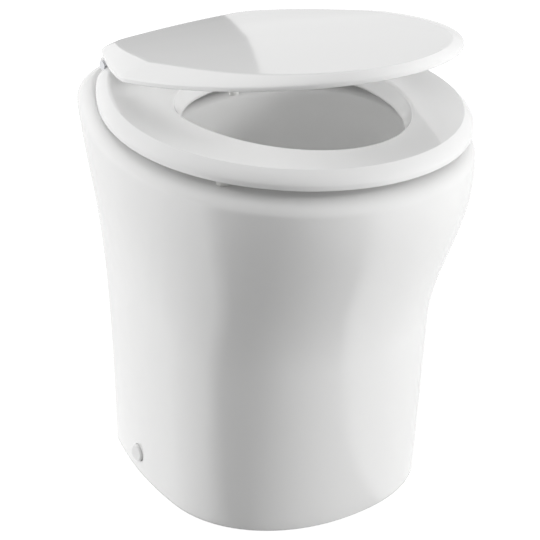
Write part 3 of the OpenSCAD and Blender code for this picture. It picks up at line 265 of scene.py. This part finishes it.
# Rings of the bowl below its upright wall, thick on the outside; angle 0 is its top and 90 its floor
def bowlRings(count, degrees, thick):
    a = np.radians(np.atleast_1d(np.asarray(degrees, float)))
    share = np.clip(np.cos(a), 0, 1) ** pan["bowlPower"]
    top = pan["height"] - pan["mouthDepth"]
    small, taper = pan["neck"], pan["mouthTaper"]
    z = top - (top - pan["sumpZ"] + thick) * np.sin(a)
    half = mix(small, pan["mouthHalf"] - taper, share) + thick
    front = mix(small, pan["mouthFront"] - taper, share) + thick
    rear = mix(small, pan["mouthRear"] - taper, share) + thick
    return eggRings(count, z, half, -mix(pan["sumpY"], pan["mouthY"], share), front, rear)


# Round rings of the neck and the outlet below the bowl
def neckRings(count, z, size):
    return eggRings(count, z, size, -pan["sumpY"], size, size)


# One closed skin: foot, outer wall, rim, deck, lip, bowl, neck, and back down the inside of the wall
def panShell(count=320):
    height, edge, lip, wall, soft = pan["height"], pan["edge"], pan["lip"], pan["wall"], pan["footSoft"]
    lipTurn = math.radians(pan["lipTurn"])
    lipArc = np.linspace(0, lipTurn, 10)
    lipIn, lipDrop = lip * (math.sin(lipTurn) - np.sin(lipArc)), lip * (1 - np.cos(lipArc))
    turn = np.linspace(0, math.pi / 2, 17)
    foot = np.linspace(0, math.pi / 2, 7)
    bowlTop, under = height - pan["mouthDepth"], height - pan["deck"]
    deckOut = wallRings(count, height, edge)[0]
    deckIn = mouthRings(count, height, -lipIn[0])[0]
    upright = np.linspace(0, 1, 7)[1:-1]
    underOut = wallRings(count, under, wall)[0]
    underIn = mouthRings(count, under, -wall)[0]
    return np.concatenate([
        wallRings(count, soft * (1 - np.sin(foot)), soft * (1 - np.cos(foot)))[::-1],
        wallRings(count, np.linspace(soft, height - edge, 72)[1:-1], 0),
        wallRings(count, height - edge * (1 - np.sin(turn)), edge * (1 - np.cos(turn))),
        ringsBetween(deckOut, deckIn, np.linspace(0, 1, 8)[1:-1], np.full(6, float(height))),
        mouthRings(count, height - lipDrop, -lipIn),
        mouthRings(count, mix(height - lipDrop[-1], bowlTop, upright), pan["mouthTaper"] * upright),
        bowlRings(count, np.linspace(0, 90, 46), 0),
        neckRings(count, [mix(pan["sumpZ"], pan["neckZ"], 0.5), pan["neckZ"]], pan["neck"]),
        neckRings(count, [pan["neckZ"]], pan["neck"] + wall),
        bowlRings(count, np.linspace(90, 0, 24), wall),
        underIn[None],
        ringsBetween(underIn, underOut, [0.35, 0.7], [float(under)] * 2),
        underOut[None],
        wallRings(count, np.linspace(under, 0, 18)[1:], wall),
    ])


# The service arch's cutter: its outline, flared where it meets the rear wall so that the edge is rounded
def archCutter():
    half, top, radius, soft = arch["half"], arch["top"], arch["radius"], arch["soft"]
    bend = np.linspace(0, math.pi / 2, 17)
    rise = np.linspace(arch["low"], top - radius, 40)
    right = np.stack([np.full_like(rise, half), rise], axis=-1)
    rightOut = np.stack([np.ones_like(rise), np.zeros_like(rise)], axis=-1)
    turn = np.stack([half - radius * (1 - np.cos(bend)), top - radius * (1 - np.sin(bend))], axis=-1)
    turnOut = np.stack([np.cos(bend), np.sin(bend)], axis=-1)
    outline = np.concatenate([right, turn[1:]])
    outward = np.concatenate([rightOut, turnOut[1:]])
    outline = np.concatenate([outline, outline[::-1] * [-1, 1]])
    outward = np.concatenate([outward, outward[::-1] * [-1, 1]])
    flare = np.linspace(0, math.pi / 2, 9)
    depth = np.concatenate([[-arch["inside"]], -soft * (1 - np.sin(flare)), [arch["outside"]]])
    grow = np.concatenate([[0, 0], soft * (1 - np.cos(flare)), [soft]])
    xz = outline[None] + outward[None] * grow[:, None, None]
    first = np.full((1, len(outline)), float(arch["front"]))
    y = np.concatenate([first, wallRear(xz[1:, :, 1]) + depth[:, None]])
    rings = np.stack([xz[:, :, 0], y, xz[:, :, 1]], axis=-1)[:, ::-1]
    ends = [[0, arch["front"], arch["middle"]], [0, float(y[-1].mean()), arch["middle"]]]
    return loft("archCutter", rings, ends)


# The pan with its service arch, nozzle hole, hinge bolt holes, and screw holes with a flat seat for each cap
def makePan():
    piece = loft("glazedPan", panShell())
    footHalf, height, low = pan["footWidth"] / 2, pan["height"], sideScrew["z"]
    reach = pan["wideY"] / (wallRear(low) + pan["wideY"])
    half = mix(pan["footWidth"], pan["width"], wallSwell(low)) / 2
    flat = mix(pan["footFlat"], pan["flat"], rearLean(low))
    capSeat = half - (half - flat) * reach**2 - sideScrew["seat"]
    inner, outer = footHalf - sideScrew["inside"], footHalf + sideScrew["outside"]
    nozzle = (0, 0, height - pan["nozzleDrop"])
    tools = [archCutter(), rod("nozzleHole", "y", nozzle, pan["nozzleHole"], 0, pan["nozzleReach"])]
    boltLow, boltHigh = height - pan["deck"] - hinge["boltPast"], height + hinge["boltPast"]
    for side in (-1, 1):
        at = (side * hinge["post"], hinge["bolt"], 0)
        tools.append(rod("boltHole", "z", at, hinge["boltHole"], boltLow, boltHigh))
        span = sorted((side * inner, side * outer))
        tools.append(rod("screwHole", "x", (0, 0, low), sideScrew["hole"], *span))
        span = sorted((side * capSeat, side * outer))
        tools.append(rod("spotFace", "x", (0, 0, low), sideScrew["spot"], *span))
    carve(piece, tools)
    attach(piece, "pan")
    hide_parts("ceramic_body")
    return piece


glazedPan = makePan()
print("pan made with", len(glazedPan.data.polygons), "faces")

# Seat

seat = {
    "z": 433.4, "half": 187, "flat": 106, "wideY": 84, "front": 212.5, "rear": 211.5, "corner": 14,
    "power": 2, "thick": 20.5, "foot": 1.5, "edgeFrom": 0.25, "crease": 10.5, "creaseShare": 0.94,
    "leanPower": 1.6, "crown": 0.3, "holeHalf": 112, "holeY": 72, "holeFront": 157.5, "holeRear": 92,
    "flare": 7.6, "holeSoft": 3.5, "holeDrop": 2.1, "holeFoot": 2.46,
}
ear = {
    "inside": 77, "outside": 99.7, "radius": 9, "back": 15, "bore": 4.08, "borePast": 1, "headBore": 5.5,
    "headRoom": 13,
}
notch = {"inside": 46, "outside": 77, "front": 106, "back": 137.5, "below": 10, "above": 40}


# Rings of the seat's outer edge, a rise above its foot and drawn in by inset
def seatEdge(count, rise, inset):
    rise, inset = np.atleast_1d(rise), np.atleast_1d(inset)
    return straightBackRings(
        count, seat["z"] + rise, seat["half"], seat["flat"], -seat["wideY"], seat["front"], seat["rear"],
        seat["corner"], seat["power"], inset,
    )


# Rings of the seat's egg-shaped hole, a rise above its foot and grown outward
def seatHole(count, rise, grow):
    z, inset = seat["z"] + np.atleast_1d(rise), -np.atleast_1d(grow)
    return eggRings(count, z, seat["holeHalf"], -seat["holeY"], seat["holeFront"], seat["holeRear"], inset)


# The ring's section: a small foot edge, a side that leans in to a crisp crease, a flat top, a flared hole
def seatShell(count=320):
    thick, crease, flare, soft = seat["thick"], seat["crease"], seat["flare"], seat["holeSoft"]
    holeDrop, holeFoot = seat["holeDrop"], seat["holeFoot"]
    foot = np.linspace(0, math.pi / 2, 6)
    footIn, footUp = seat["foot"] * (1 - np.sin(foot)), seat["foot"] * (1 - np.cos(foot))
    side = np.linspace(0, 1, 22)
    top = np.linspace(0, 1, 14)[1:-1]
    hole = np.linspace(0, math.pi / 2, 10)
    wall = np.linspace(1, 0, 8)[1:]
    outerTop = seatEdge(count, 0, crease)[0]
    holeTop = seatHole(count, 0, flare + soft)[0]
    edgeTop = thick * seat["creaseShare"]
    crown = edgeTop + seat["crown"] * np.sin(top * math.pi)
    lean = crease * side ** seat["leanPower"]
    return np.concatenate([
        seatEdge(count, footUp, footIn),
        seatEdge(count, thick * mix(seat["edgeFrom"], seat["creaseShare"], side), lean),
        ringsBetween(outerTop, holeTop, top, seat["z"] + crown),
        seatHole(count, edgeTop - holeDrop * (1 - np.cos(hole)), flare + soft * (1 - np.sin(hole))),
        seatHole(count, mix(holeFoot, edgeTop - holeDrop, wall), flare * wall),
        seatHole(count, holeFoot * (1 - np.sin(foot))[1:], footUp[1:]),
    ])


# The seat ring with an ear on each side for the hinge pin, and a notch inside each for the post and the lug
def makeSeat():
    piece = loft("seatRing", seatShell())
    joined, cuts = [], []
    for side in (-1, 1):
        span = sorted((side * ear["inside"], side * ear["outside"]))
        axis = (0, hinge["y"], hinge["z"])
        joined.append(rod("earRod", "x", axis, ear["radius"], *span))
        low = (span[0], hinge["y"] - ear["back"], hinge["z"] - ear["radius"])
        joined.append(bar("earBlock", low, (span[1], hinge["y"], hinge["z"])))
        gap = sorted((side * notch["inside"], side * notch["outside"]))
        low = (gap[0], notch["front"], seat["z"] - notch["below"])
        cuts.append(bar("hingeNotch", low, (gap[1], notch["back"], seat["z"] + notch["above"])))
        hole = sorted((side * (ear["inside"] - ear["borePast"]), side * (ear["outside"] + ear["headRoom"])))
        cuts.append(rod("pinBore", "x", axis, ear["bore"], *hole))
        head = sorted((side * ear["outside"], side * (ear["outside"] + ear["headRoom"])))
        cuts.append(rod("headBore", "x", axis, ear["headBore"], *head))
    carve(piece, joined, "UNION")
    carve(piece, cuts)
    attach(piece, "seat")
    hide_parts("seat_ring")
    return piece


seatRing = makeSeat()
print("seat made with", len(seatRing.data.polygons), "faces")

# Lid

lid = {
    "lift": 14.9, "half": 176, "flat": 99, "wideY": 168, "front": 262, "rear": 172.1, "corner": 16,
    "power": 1.2, "frontCrease": 5, "sideCrease": 36, "rearCrease": 11, "wideAt": 0.96,
    "frontSpread": 0.43, "rearSpread": 0.36, "edgeRise": 4.2, "bandPower": 0.7, "base": 8, "dome": 11,
    "domeWidth": 215, "domeLength": 262, "centreY": -215, "shell": 4, "lip": 5, "foot": 1.2, "open": 11.2,
    "sag": 0.34, "nearTip": 0.97, "bandUnder": 0.5, "rimPower": 1.4, "crownPower": 1.15,
}
lug = {
    "inside": 47, "outside": 61, "radius": 9, "bore": 6.6, "borePast": 2, "slim": 0.2, "rootDepth": 2,
    "rootRise": 3, "backDepth": 8.9, "backRise": 6,
}


# Rings of the lid's edge, a rise above its lower edge and drawn in by inset
def lidEdge(count, rise, inset):
    rise, inset = np.atleast_1d(rise), np.atleast_1d(inset)
    return straightBackRings(
        count, lid["lift"] + rise, lid["half"], lid["flat"], -lid["wideY"], lid["front"], lid["rear"],
        lid["corner"], lid["power"], inset,
    )


# Height of the lid's domed top above its lower edge at points of a ring
def lidTop(points):
    across, along = points[..., 0] / lid["domeWidth"], (points[..., 1] - lid["centreY"]) / lid["domeLength"]
    return lid["base"] + lid["dome"] * (1 - across**2 - along**2)


# Rings at shares of the way from the lid's edge to its crease, which lies furthest in at the widest part
def lidBand(count, share, drop):
    share = column(share)[:, :, None]
    along = ringParameter(count)[0]
    ahead = along < lid["wideAt"]
    low = np.where(ahead, lid["frontCrease"], lid["rearCrease"])
    spread = np.where(ahead, lid["frontSpread"], lid["rearSpread"])
    inset = low + (lid["sideCrease"] - low) * np.exp(-(((along - lid["wideAt"]) / spread) ** 2))
    edge = lidEdge(count, 0, 0)
    crease = mix(edge, lidEdge(count, 0, lid["sideCrease"]), (inset / lid["sideCrease"])[:, None])
    rings = mix(edge, crease, share)
    climb = share[:, :, 0] ** lid["bandPower"]
    rings[:, :, 2] = lid["lift"] - drop + mix(lid["edgeRise"], lidTop(crease), climb)
    return rings


# Rings of the top at shares of the way from the crease to the middle
def lidCrown(count, share, drop):
    outer = lidBand(count, 1, drop)
    rings = outer + (np.array([0.0, lid["centreY"], 0.0]) - outer) * column(share)[:, :, None]
    rings[:, :, 2] = lid["lift"] + lidTop(rings) - drop
    return rings


# Hinge place in the pan's frame for points drawn about the hinge line
def atHinge(points, degrees):
    a = math.radians(degrees)
    x, y, z = np.moveaxis(np.asarray(points, float), -1, 0)
    turnedY = y * math.cos(a) + z * math.sin(a) + hinge["y"]
    turnedZ = z * math.cos(a) - y * math.sin(a) + hinge["z"]
    return np.stack([x, turnedY, turnedZ], axis=-1)


# A shallow shell: its underside from the centre out, the small lower edge, the rounded rim and the crown
def lidShell(count=320):
    shell, soft = lid["shell"], lid["foot"]
    under = np.linspace(lid["nearTip"], 0, 24)
    below = np.linspace(1, lid["bandUnder"], 5)[1:]
    foot = np.linspace(0, math.pi / 2, 5)
    rim = np.linspace(0, 1, 22) ** lid["rimPower"]
    crown = 1 - (1 - np.linspace(0, lid["nearTip"], 44)[1:]) ** lid["crownPower"]
    return np.concatenate([
        lidCrown(count, under, shell),
        lidBand(count, below, shell),
        lidEdge(count, 0, lid["lip"]),
        lidEdge(count, soft * (1 - np.cos(foot)), soft * (1 - np.sin(foot))),
        lidBand(count, rim, 0),
        lidCrown(count, crown, 0),
    ])


# The lid, lowered by its sag, with a bored lug on each side
def makeLid():
    tip = lid["lift"] + lid["base"] + lid["dome"]
    ends = [[0, lid["centreY"], tip - lid["shell"]], [0, lid["centreY"], tip]]
    drawn = lid["open"] - lid["sag"]
    piece = loft("lidShell", atHinge(lidShell(), drawn), atHinge(ends, drawn))
    joined, cuts = [], []
    reach = lug["radius"]
    axis = (0, hinge["y"], hinge["z"])
    move = Matrix.Translation(Vector(axis) * mm) @ Matrix.Rotation(math.radians(-lid["open"]), 4, "X")
    # Slim, depth and rise of a lug's root block and of its back block, which end a little apart
    blocks = (
        (lug["slim"], lug["rootDepth"], lid["lift"] + lug["rootRise"]),
        (2 * lug["slim"], lug["backDepth"], lug["backRise"]),
    )
    for side in (-1, 1):
        span = sorted((side * lug["inside"], side * lug["outside"]))
        joined.append(rod("lugRod", "x", axis, reach, *span))
        for slim, depth, rise in blocks:
            block = bar("lugBlock", (span[0] + slim, slim - reach, 0), (span[1] - slim, depth, rise))
            block.data.transform(move)
            joined.append(block)
        hole = sorted((side * (lug["inside"] - lug["borePast"]), side * (lug["outside"] + lug["borePast"])))
        cuts.append(rod("damperBore", "x", axis, lug["bore"], *hole))
    carve(piece, joined, "UNION")
    carve(piece, cuts)
    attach(piece, "lid")
    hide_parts("lid_shell")
    return piece


lidPiece = makeLid()
print("lid made with", len(lidPiece.data.polygons), "faces")

# Finishes


# A shader node group with named sockets, filled in by a function that is given its nodes, links and ends
def nodeGroup(name, inputs, outputs, build):
    group = bpy.data.node_groups.new(name, "ShaderNodeTree")
    for title, kind, value in inputs:
        group.interface.new_socket(title, in_out="INPUT", socket_type=kind).default_value = value
    for title, kind in outputs:
        group.interface.new_socket(title, in_out="OUTPUT", socket_type=kind)
    start, end = group.nodes.new("NodeGroupInput"), group.nodes.new("NodeGroupOutput")
    build(group.nodes, group.links, start.outputs, end.inputs)
    return group


# Noise at a place, whose scale is a number or another node's output
def noise(nodes, links, place, scale, detail):
    texture = nodes.new("ShaderNodeTexNoise")
    texture.inputs["Detail"].default_value = detail
    links.new(place, texture.inputs["Vector"])
    if isinstance(scale, (int, float)):
        texture.inputs["Scale"].default_value = scale
    else:
        links.new(scale, texture.inputs["Scale"])
    return texture.outputs["Fac"]


# One step of arithmetic on numbers or on other nodes' outputs
def sums(nodes, links, operation, first, second):
    node = nodes.new("ShaderNodeMath")
    node.operation = operation
    for socket, value in zip(node.inputs, (first, second)):
        if isinstance(value, (int, float)):
            socket.default_value = value
        else:
            links.new(value, socket)
    return node.outputs[0]


# Scales of the orange peel and of the slow patches in a grained surface, and the colour patches darken to
peelScale, patchScale = 420.0, 45.0
soot = (0.02, 0.02, 0.02, 1)


# Slow waves of a fired or moulded gloss surface, with a faint orange peel on top
def buildWaves(nodes, links, given, made):
    place = nodes.new("ShaderNodeTexCoord").outputs["Object"]
    slow = noise(nodes, links, place, given["Scale"], 1.0)
    peel = sums(nodes, links, "MULTIPLY", noise(nodes, links, place, peelScale, 1.0), given["Peel"])
    links.new(sums(nodes, links, "ADD", slow, peel), made["Height"])


# Fine grain of castings, rubber and satin mouldings, which also breaks up the roughness
def buildGrain(nodes, links, given, made):
    place = nodes.new("ShaderNodeTexCoord").outputs["Object"]
    grain = noise(nodes, links, place, given["Scale"], 4.0)
    patch = noise(nodes, links, place, patchScale, 2.0)
    spread = sums(nodes, links, "MULTIPLY", sums(nodes, links, "SUBTRACT", patch, 0.5), given["Spread"])
    links.new(grain, made["Height"])
    links.new(sums(nodes, links, "ADD", given["Roughness"], spread), made["Roughness"])
    links.new(shade(nodes, links, given["Base"], patch, given["Mottle"]), made["Color"])


# A colour made a little darker where the mask is low
def shade(nodes, links, colour, mask, depth):
    dark = sums(nodes, links, "MULTIPLY", sums(nodes, links, "SUBTRACT", 1.0, mask), depth)
    blend = nodes.new("ShaderNodeMix")
    blend.data_type = "RGBA"
    links.new(dark, blend.inputs["Factor"])
    links.new(colour, next(i for i in blend.inputs if i.name == "A" and i.type == "RGBA"))
    next(i for i in blend.inputs if i.name == "B" and i.type == "RGBA").default_value = soot
    return next(o for o in blend.outputs if o.type == "RGBA")


# Crystals of hot-dip zinc: flat cells, each with its own shade and polish
def buildSpangle(nodes, links, given, made):
    place = nodes.new("ShaderNodeTexCoord").outputs["Object"]
    cells = nodes.new("ShaderNodeTexVoronoi")
    links.new(place, cells.inputs["Vector"])
    links.new(given["Scale"], cells.inputs["Scale"])
    split = nodes.new("ShaderNodeSeparateColor")
    links.new(cells.outputs["Color"], split.inputs[0])
    spread = sums(nodes, links, "MULTIPLY", split.outputs[0], given["Spread"])
    links.new(sums(nodes, links, "ADD", given["Roughness"], spread), made["Roughness"])
    links.new(shade(nodes, links, given["Base"], split.outputs[1], given["Mottle"]), made["Color"])
    links.new(split.outputs[2], made["Height"])


number = "NodeSocketFloat"
scaleIn = ("Scale", number, 100.0)
surfaceIn = [
    ("Base", "NodeSocketColor", (0.5, 0.5, 0.5, 1)), scaleIn, ("Roughness", number, 0.5),
    ("Spread", number, 0.1), ("Mottle", number, 0.1),
]
surfaceOut = [("Color", "NodeSocketColor"), ("Roughness", number), ("Height", number)]
waves = nodeGroup("glossWaves", [scaleIn, ("Peel", number, 0.01)], [("Height", number)], buildWaves)
grain = nodeGroup("fineGrain", surfaceIn, surfaceOut, buildGrain)
spangle = nodeGroup("zincSpangle", surfaceIn, surfaceOut, buildSpangle)

# Bump depth is the height in millimetres between a group's lowest and highest value
finishes = {
    "glaze": {
        "group": waves, "base": (0.875, 0.875, 0.87), "rough": 0.045, "scale": 17, "peel": 0.004,
        "depth": 0.5,
    },
    "seat_plastic": {
        "group": waves, "base": (0.885, 0.885, 0.882), "rough": 0.07, "scale": 11, "peel": 0.003,
        "depth": 0.25,
    },
    "bumper_plastic": {
        "group": grain, "base": (0.8, 0.8, 0.78), "rough": 0.42, "scale": 900, "spread": 0.1, "mottle": 0.03,
        "depth": 0.03,
    },
    "bright_steel": {
        "group": grain, "base": (0.62, 0.63, 0.65), "rough": 0.24, "scale": 1400, "spread": 0.12,
        "mottle": 0.05, "depth": 0.01, "metal": 1.0,
    },
    "zinc_sheet": {
        "group": spangle, "base": (0.6, 0.62, 0.64), "rough": 0.3, "scale": 170, "spread": 0.22,
        "mottle": 0.22, "depth": 0.01, "metal": 1.0,
    },
    "motor_paint": {
        "group": grain, "base": (0.025, 0.027, 0.03), "rough": 0.38, "scale": 1100, "spread": 0.14,
        "mottle": 0.2, "depth": 0.08,
    },
    "cast_alloy": {
        "group": grain, "base": (0.56, 0.57, 0.58), "rough": 0.48, "scale": 750, "spread": 0.16,
        "mottle": 0.14, "depth": 0.16, "metal": 1.0,
    },
    "core_iron": {
        "group": grain, "base": (0.14, 0.11, 0.09), "rough": 0.55, "scale": 500, "spread": 0.2, "mottle": 0.3,
        "depth": 0.05, "metal": 0.6,
    },
    "grey_moulding": {
        "group": grain, "base": (0.042, 0.046, 0.054), "rough": 0.42, "scale": 1000, "spread": 0.1,
        "mottle": 0.1, "depth": 0.06,
    },
    "black_plastic": {
        "group": grain, "base": (0.012, 0.012, 0.013), "rough": 0.4, "scale": 1000, "spread": 0.1,
        "mottle": 0.1, "depth": 0.06,
    },
    "pipe_plastic": {
        "group": grain, "base": (0.27, 0.3, 0.33), "rough": 0.34, "scale": 700, "spread": 0.1, "mottle": 0.08,
        "depth": 0.03,
    },
    "coil_blue": {
        "group": grain, "base": (0.012, 0.03, 0.09), "rough": 0.36, "scale": 800, "spread": 0.1,
        "mottle": 0.1, "depth": 0.04,
    },
    "board_green": {
        "group": grain, "base": (0.008, 0.07, 0.025), "rough": 0.3, "scale": 300, "spread": 0.12,
        "mottle": 0.3, "depth": 0.02,
    },
    "black_rubber": {
        "group": grain, "base": (0.012, 0.012, 0.013), "rough": 0.66, "scale": 900, "spread": 0.16,
        "mottle": 0.15, "depth": 0.1,
    },
    "hose_rubber": {
        "group": grain, "base": (0.14, 0.155, 0.17), "rough": 0.5, "scale": 800, "spread": 0.12,
        "mottle": 0.12, "depth": 0.06,
    },
}


# A gloss look keeps its plain colour under slow waves; the others take colour and roughness from their group
def makeMaterial(slot, look):
    material = bpy.data.materials.new(slot)
    material.use_nodes = True
    nodes, links = material.node_tree.nodes, material.node_tree.links
    shader = nodes["Principled BSDF"]
    shader.inputs["Base Color"].default_value = (*look["base"], 1)
    shader.inputs["Roughness"].default_value = look["rough"]
    shader.inputs["Metallic"].default_value = look.get("metal", 0.0)
    effect = nodes.new("ShaderNodeGroup")
    effect.node_tree = look["group"]
    effect.inputs["Scale"].default_value = look["scale"]
    if look["group"] == waves:
        effect.inputs["Peel"].default_value = look["peel"]
    else:
        effect.inputs["Base"].default_value = (*look["base"], 1)
        effect.inputs["Roughness"].default_value = look["rough"]
        effect.inputs["Spread"].default_value = look["spread"]
        effect.inputs["Mottle"].default_value = look["mottle"]
        links.new(effect.outputs["Color"], shader.inputs["Base Color"])
        links.new(effect.outputs["Roughness"], shader.inputs["Roughness"])
    bump = nodes.new("ShaderNodeBump")
    bump.inputs["Distance"].default_value = look["depth"] * mm
    links.new(effect.outputs["Height"], bump.inputs["Height"])
    links.new(bump.outputs["Normal"], shader.inputs["Normal"])
    return material


materials = {slot: makeMaterial(slot, look) for slot, look in finishes.items()}


def paint(piece, slot):
    piece.data.materials.clear()
    piece.data.materials.append(materials[slot])


for piece, slot in ((glazedPan, "glaze"), (seatRing, "seat_plastic"), (lidPiece, "seat_plastic")):
    paint(piece, slot)
for subpart in frame["record"]["subparts"]:
    paint(cadNodes[subpart["node"]], subpart["material_slot"])
print("materials made:", len(materials))

# Stage and light

# Lengths in metres, directions in degrees round from the camera
# The lamps give the shading; the glow sheet and the flag show in reflections only
rig = {
    "ambient": 0.2, "floor": 0.55, "floorGlow": 0.8, "floorSize": 14, "floorDrop": 0.0005,
    "aim": (0, -0.05, 0.28),
    "side": {
        "reach": 2.6, "rise": 0.85, "size": (1.1, 1.7), "power": {"leftSoft": 44, "rightSoft": 49},
        "forward": {"leftSoft": -0.35, "rightSoft": 0.9},
    },
    "front": {"reach": 1.75, "rise": 2.4, "size": (2.6, 1.8), "power": 10},
    "top": {"y": 0.1, "rise": 2.9, "size": (2.4, 2.4), "power": 25.5},
    "lidFill": {"place": (0, -0.1, 0.496), "size": (0.27, 0.3), "power": 0.105},
    # Levels of the painted reflection by direction: the dim ones in front stand for shaded floor, the bright
    # ones for lit floor
    "glow": {
        "centre": (0.036, -0.163, 0.003), "reach": (0.01, 9.9),
        "turn": (-180, -140, -100, -66, -54, 0, 34, 48, 100, 140, 180),
        "level": (0.9, 1.0, 1.4, 1.9, 0.3, 0.3, 0.3, 1.4, 1.2, 1.0, 0.9),
    },
    # Painted reflection: a dim panel whose edge darkens part of the lid in reflections
    "flag": {
        "reach": 2.71, "level": 0.38, "left": -0.62,
        "edge": ((-0.14, 0), (-0.15, 0.6), (-0.2, 1.05), (-0.02, 1.5), (0.05, 1.9), (0.07, 2.5), (0.1, 3.6)),
    },
}


# White to the eye and in reflections, dimmer as light
def makeWorld():
    world = bpy.data.worlds.new("world")
    bpy.context.scene.world = world
    world.use_nodes = True
    nodes, links = world.node_tree.nodes, world.node_tree.links
    ray, back = nodes.new("ShaderNodeLightPath"), nodes["Background"]
    white = sums(nodes, links, "MAXIMUM", ray.outputs["Is Camera Ray"], ray.outputs["Is Glossy Ray"])
    white = sums(nodes, links, "MAXIMUM", white, ray.outputs["Is Transmission Ray"])
    level = sums(nodes, links, "MULTIPLY", white, 1 - rig["ambient"])
    back.inputs["Color"].default_value = (1, 1, 1, 1)
    links.new(sums(nodes, links, "ADD", level, rig["ambient"]), back.inputs["Strength"])


# A matt floor that the camera sees almost white
def makeFloor():
    half = rig["floorSize"] / 2
    mesh = bpy.data.meshes.new("floor")
    corners = [(-half, -half, 0), (half, -half, 0), (half, half, 0), (-half, half, 0)]
    mesh.from_pydata(corners, [], [(0, 1, 2, 3)])
    floor = bpy.data.objects.new("floor", mesh)
    floor.location.z = -rig["floorDrop"]
    bpy.context.scene.collection.objects.link(floor)
    material = bpy.data.materials.new("floorSheet")
    material.use_nodes = True
    nodes, links = material.node_tree.nodes, material.node_tree.links
    nodes.remove(nodes["Principled BSDF"])
    ray, glow = nodes.new("ShaderNodeLightPath"), nodes.new("ShaderNodeEmission")
    matte, both = nodes.new("ShaderNodeBsdfDiffuse"), nodes.new("ShaderNodeAddShader")
    matte.inputs["Color"].default_value = (rig["floor"],) * 3 + (1,)
    seen = sums(nodes, links, "MULTIPLY", ray.outputs["Is Camera Ray"], rig["floorGlow"])
    links.new(seen, glow.inputs["Strength"])
    links.new(matte.outputs[0], both.inputs[0])
    links.new(glow.outputs[0], both.inputs[1])
    links.new(both.outputs[0], nodes["Material Output"].inputs["Surface"])
    mesh.materials.append(material)


# A soft rectangular lamp, turned to its aim and hidden from the camera and from reflections
def makeLamp(name, place, aim, size, power):
    lamp = bpy.data.lights.new(name, "AREA")
    lamp.shape = "RECTANGLE"
    lamp.size, lamp.size_y = size
    lamp.energy = power
    holder = bpy.data.objects.new(name, lamp)
    holder.location = place
    holder.rotation_euler = (Vector(place) - Vector(aim)).to_track_quat("Z", "Y").to_euler()
    holder.visible_camera = holder.visible_glossy = False
    bpy.context.scene.collection.objects.link(holder)


# Level directions to the right of the picture and away from the camera
def viewAxes():
    turn = math.radians(view["azimuth"])
    return Vector((math.cos(turn), math.sin(turn), 0)), Vector((-math.sin(turn), math.cos(turn), 0))


def makeLights():
    right, away = viewAxes()
    middle = Vector(rig["aim"])
    side, front, top, fill = rig["side"], rig["front"], rig["top"], rig["lidFill"]
    for name, way in (("leftSoft", -1), ("rightSoft", 1)):
        place = right * way * side["reach"] - away * side["forward"][name] + Vector((0, 0, side["rise"]))
        makeLamp(name, place, middle, side["size"], side["power"][name])
    place = Vector((0, 0, front["rise"])) - away * front["reach"]
    makeLamp("frontSoft", place, middle, front["size"], front["power"])
    makeLamp("topSoft", (0, top["y"], top["rise"]), (0, top["y"], 0), top["size"], top["power"])
    lean = math.radians(lid["open"])
    down = Vector((0, -math.sin(lean), -math.cos(lean)))
    makeLamp("lidFill", fill["place"], Vector(fill["place"]) + down, fill["size"], fill["power"])


# A stage mesh that glows by a level held at each of its points and shows in reflections only
def makeGlow(name, points, faces, levels):
    mesh = bpy.data.meshes.new(name)
    mesh.from_pydata(np.asarray(points).tolist(), [], np.asarray(faces).tolist())
    mesh.attributes.new("glow", "FLOAT", "POINT").data.foreach_set("value", np.asarray(levels, np.float32))
    sheet = bpy.data.objects.new(name, mesh)
    bpy.context.scene.collection.objects.link(sheet)
    material = bpy.data.materials.new(name + "Light")
    material.use_nodes = True
    nodes, links = material.node_tree.nodes, material.node_tree.links
    nodes.remove(nodes["Principled BSDF"])
    light, level = nodes.new("ShaderNodeEmission"), nodes.new("ShaderNodeAttribute")
    level.attribute_name = "glow"
    links.new(level.outputs["Fac"], light.inputs["Strength"])
    links.new(light.outputs[0], nodes["Material Output"].inputs["Surface"])
    mesh.materials.append(material)
    sheet.visible_camera = sheet.visible_diffuse = sheet.visible_shadow = sheet.visible_transmission = False


# A sheet on the floor, brighter or darker by direction, so that two soft steps of tone run down the pedestal.
# It is a painted reflection
# Its dim sector in front stands for shaded floor and its bright sectors for lit floor, in reflections only
def makeFloorGlow():
    glow = rig["glow"]
    right, away = (np.array(v) for v in viewAxes())
    count = 180
    turn = np.linspace(-180, 180, count + 1)
    a = np.radians(turn)[:, None]
    spoke = np.sin(a) * right - np.cos(a) * away
    points = np.array(glow["centre"]) + np.concatenate([spoke * r for r in glow["reach"]])
    k = np.arange(count)
    faces = np.stack([k, k + count + 1, k + count + 2, k + 1], axis=-1)
    makeGlow("floorGlow", points, faces, np.tile(np.interp(turn, glow["turn"], glow["level"]), 2))


# A panel behind the left side, darker than the white beyond it, whose edge divides the lid's tones. It is a
# painted reflection and is seen nowhere else
def makeFlag():
    right, away = viewAxes()
    flag = rig["flag"]
    edge = [away * flag["reach"] + right * u + Vector((0, 0, z)) for u, z in flag["edge"]]
    far = [p + right * (flag["left"] - u) for p, (u, z) in zip(edge, flag["edge"])]
    count = len(edge)
    faces = [(i, i + 1, count + i + 1, count + i) for i in range(count - 1)]
    makeGlow("flag", edge + far, faces, [flag["level"]] * count * 2)


makeWorld()
makeFloor()
makeLights()
makeFloorGlow()
makeFlag()
print("stage and lights placed")
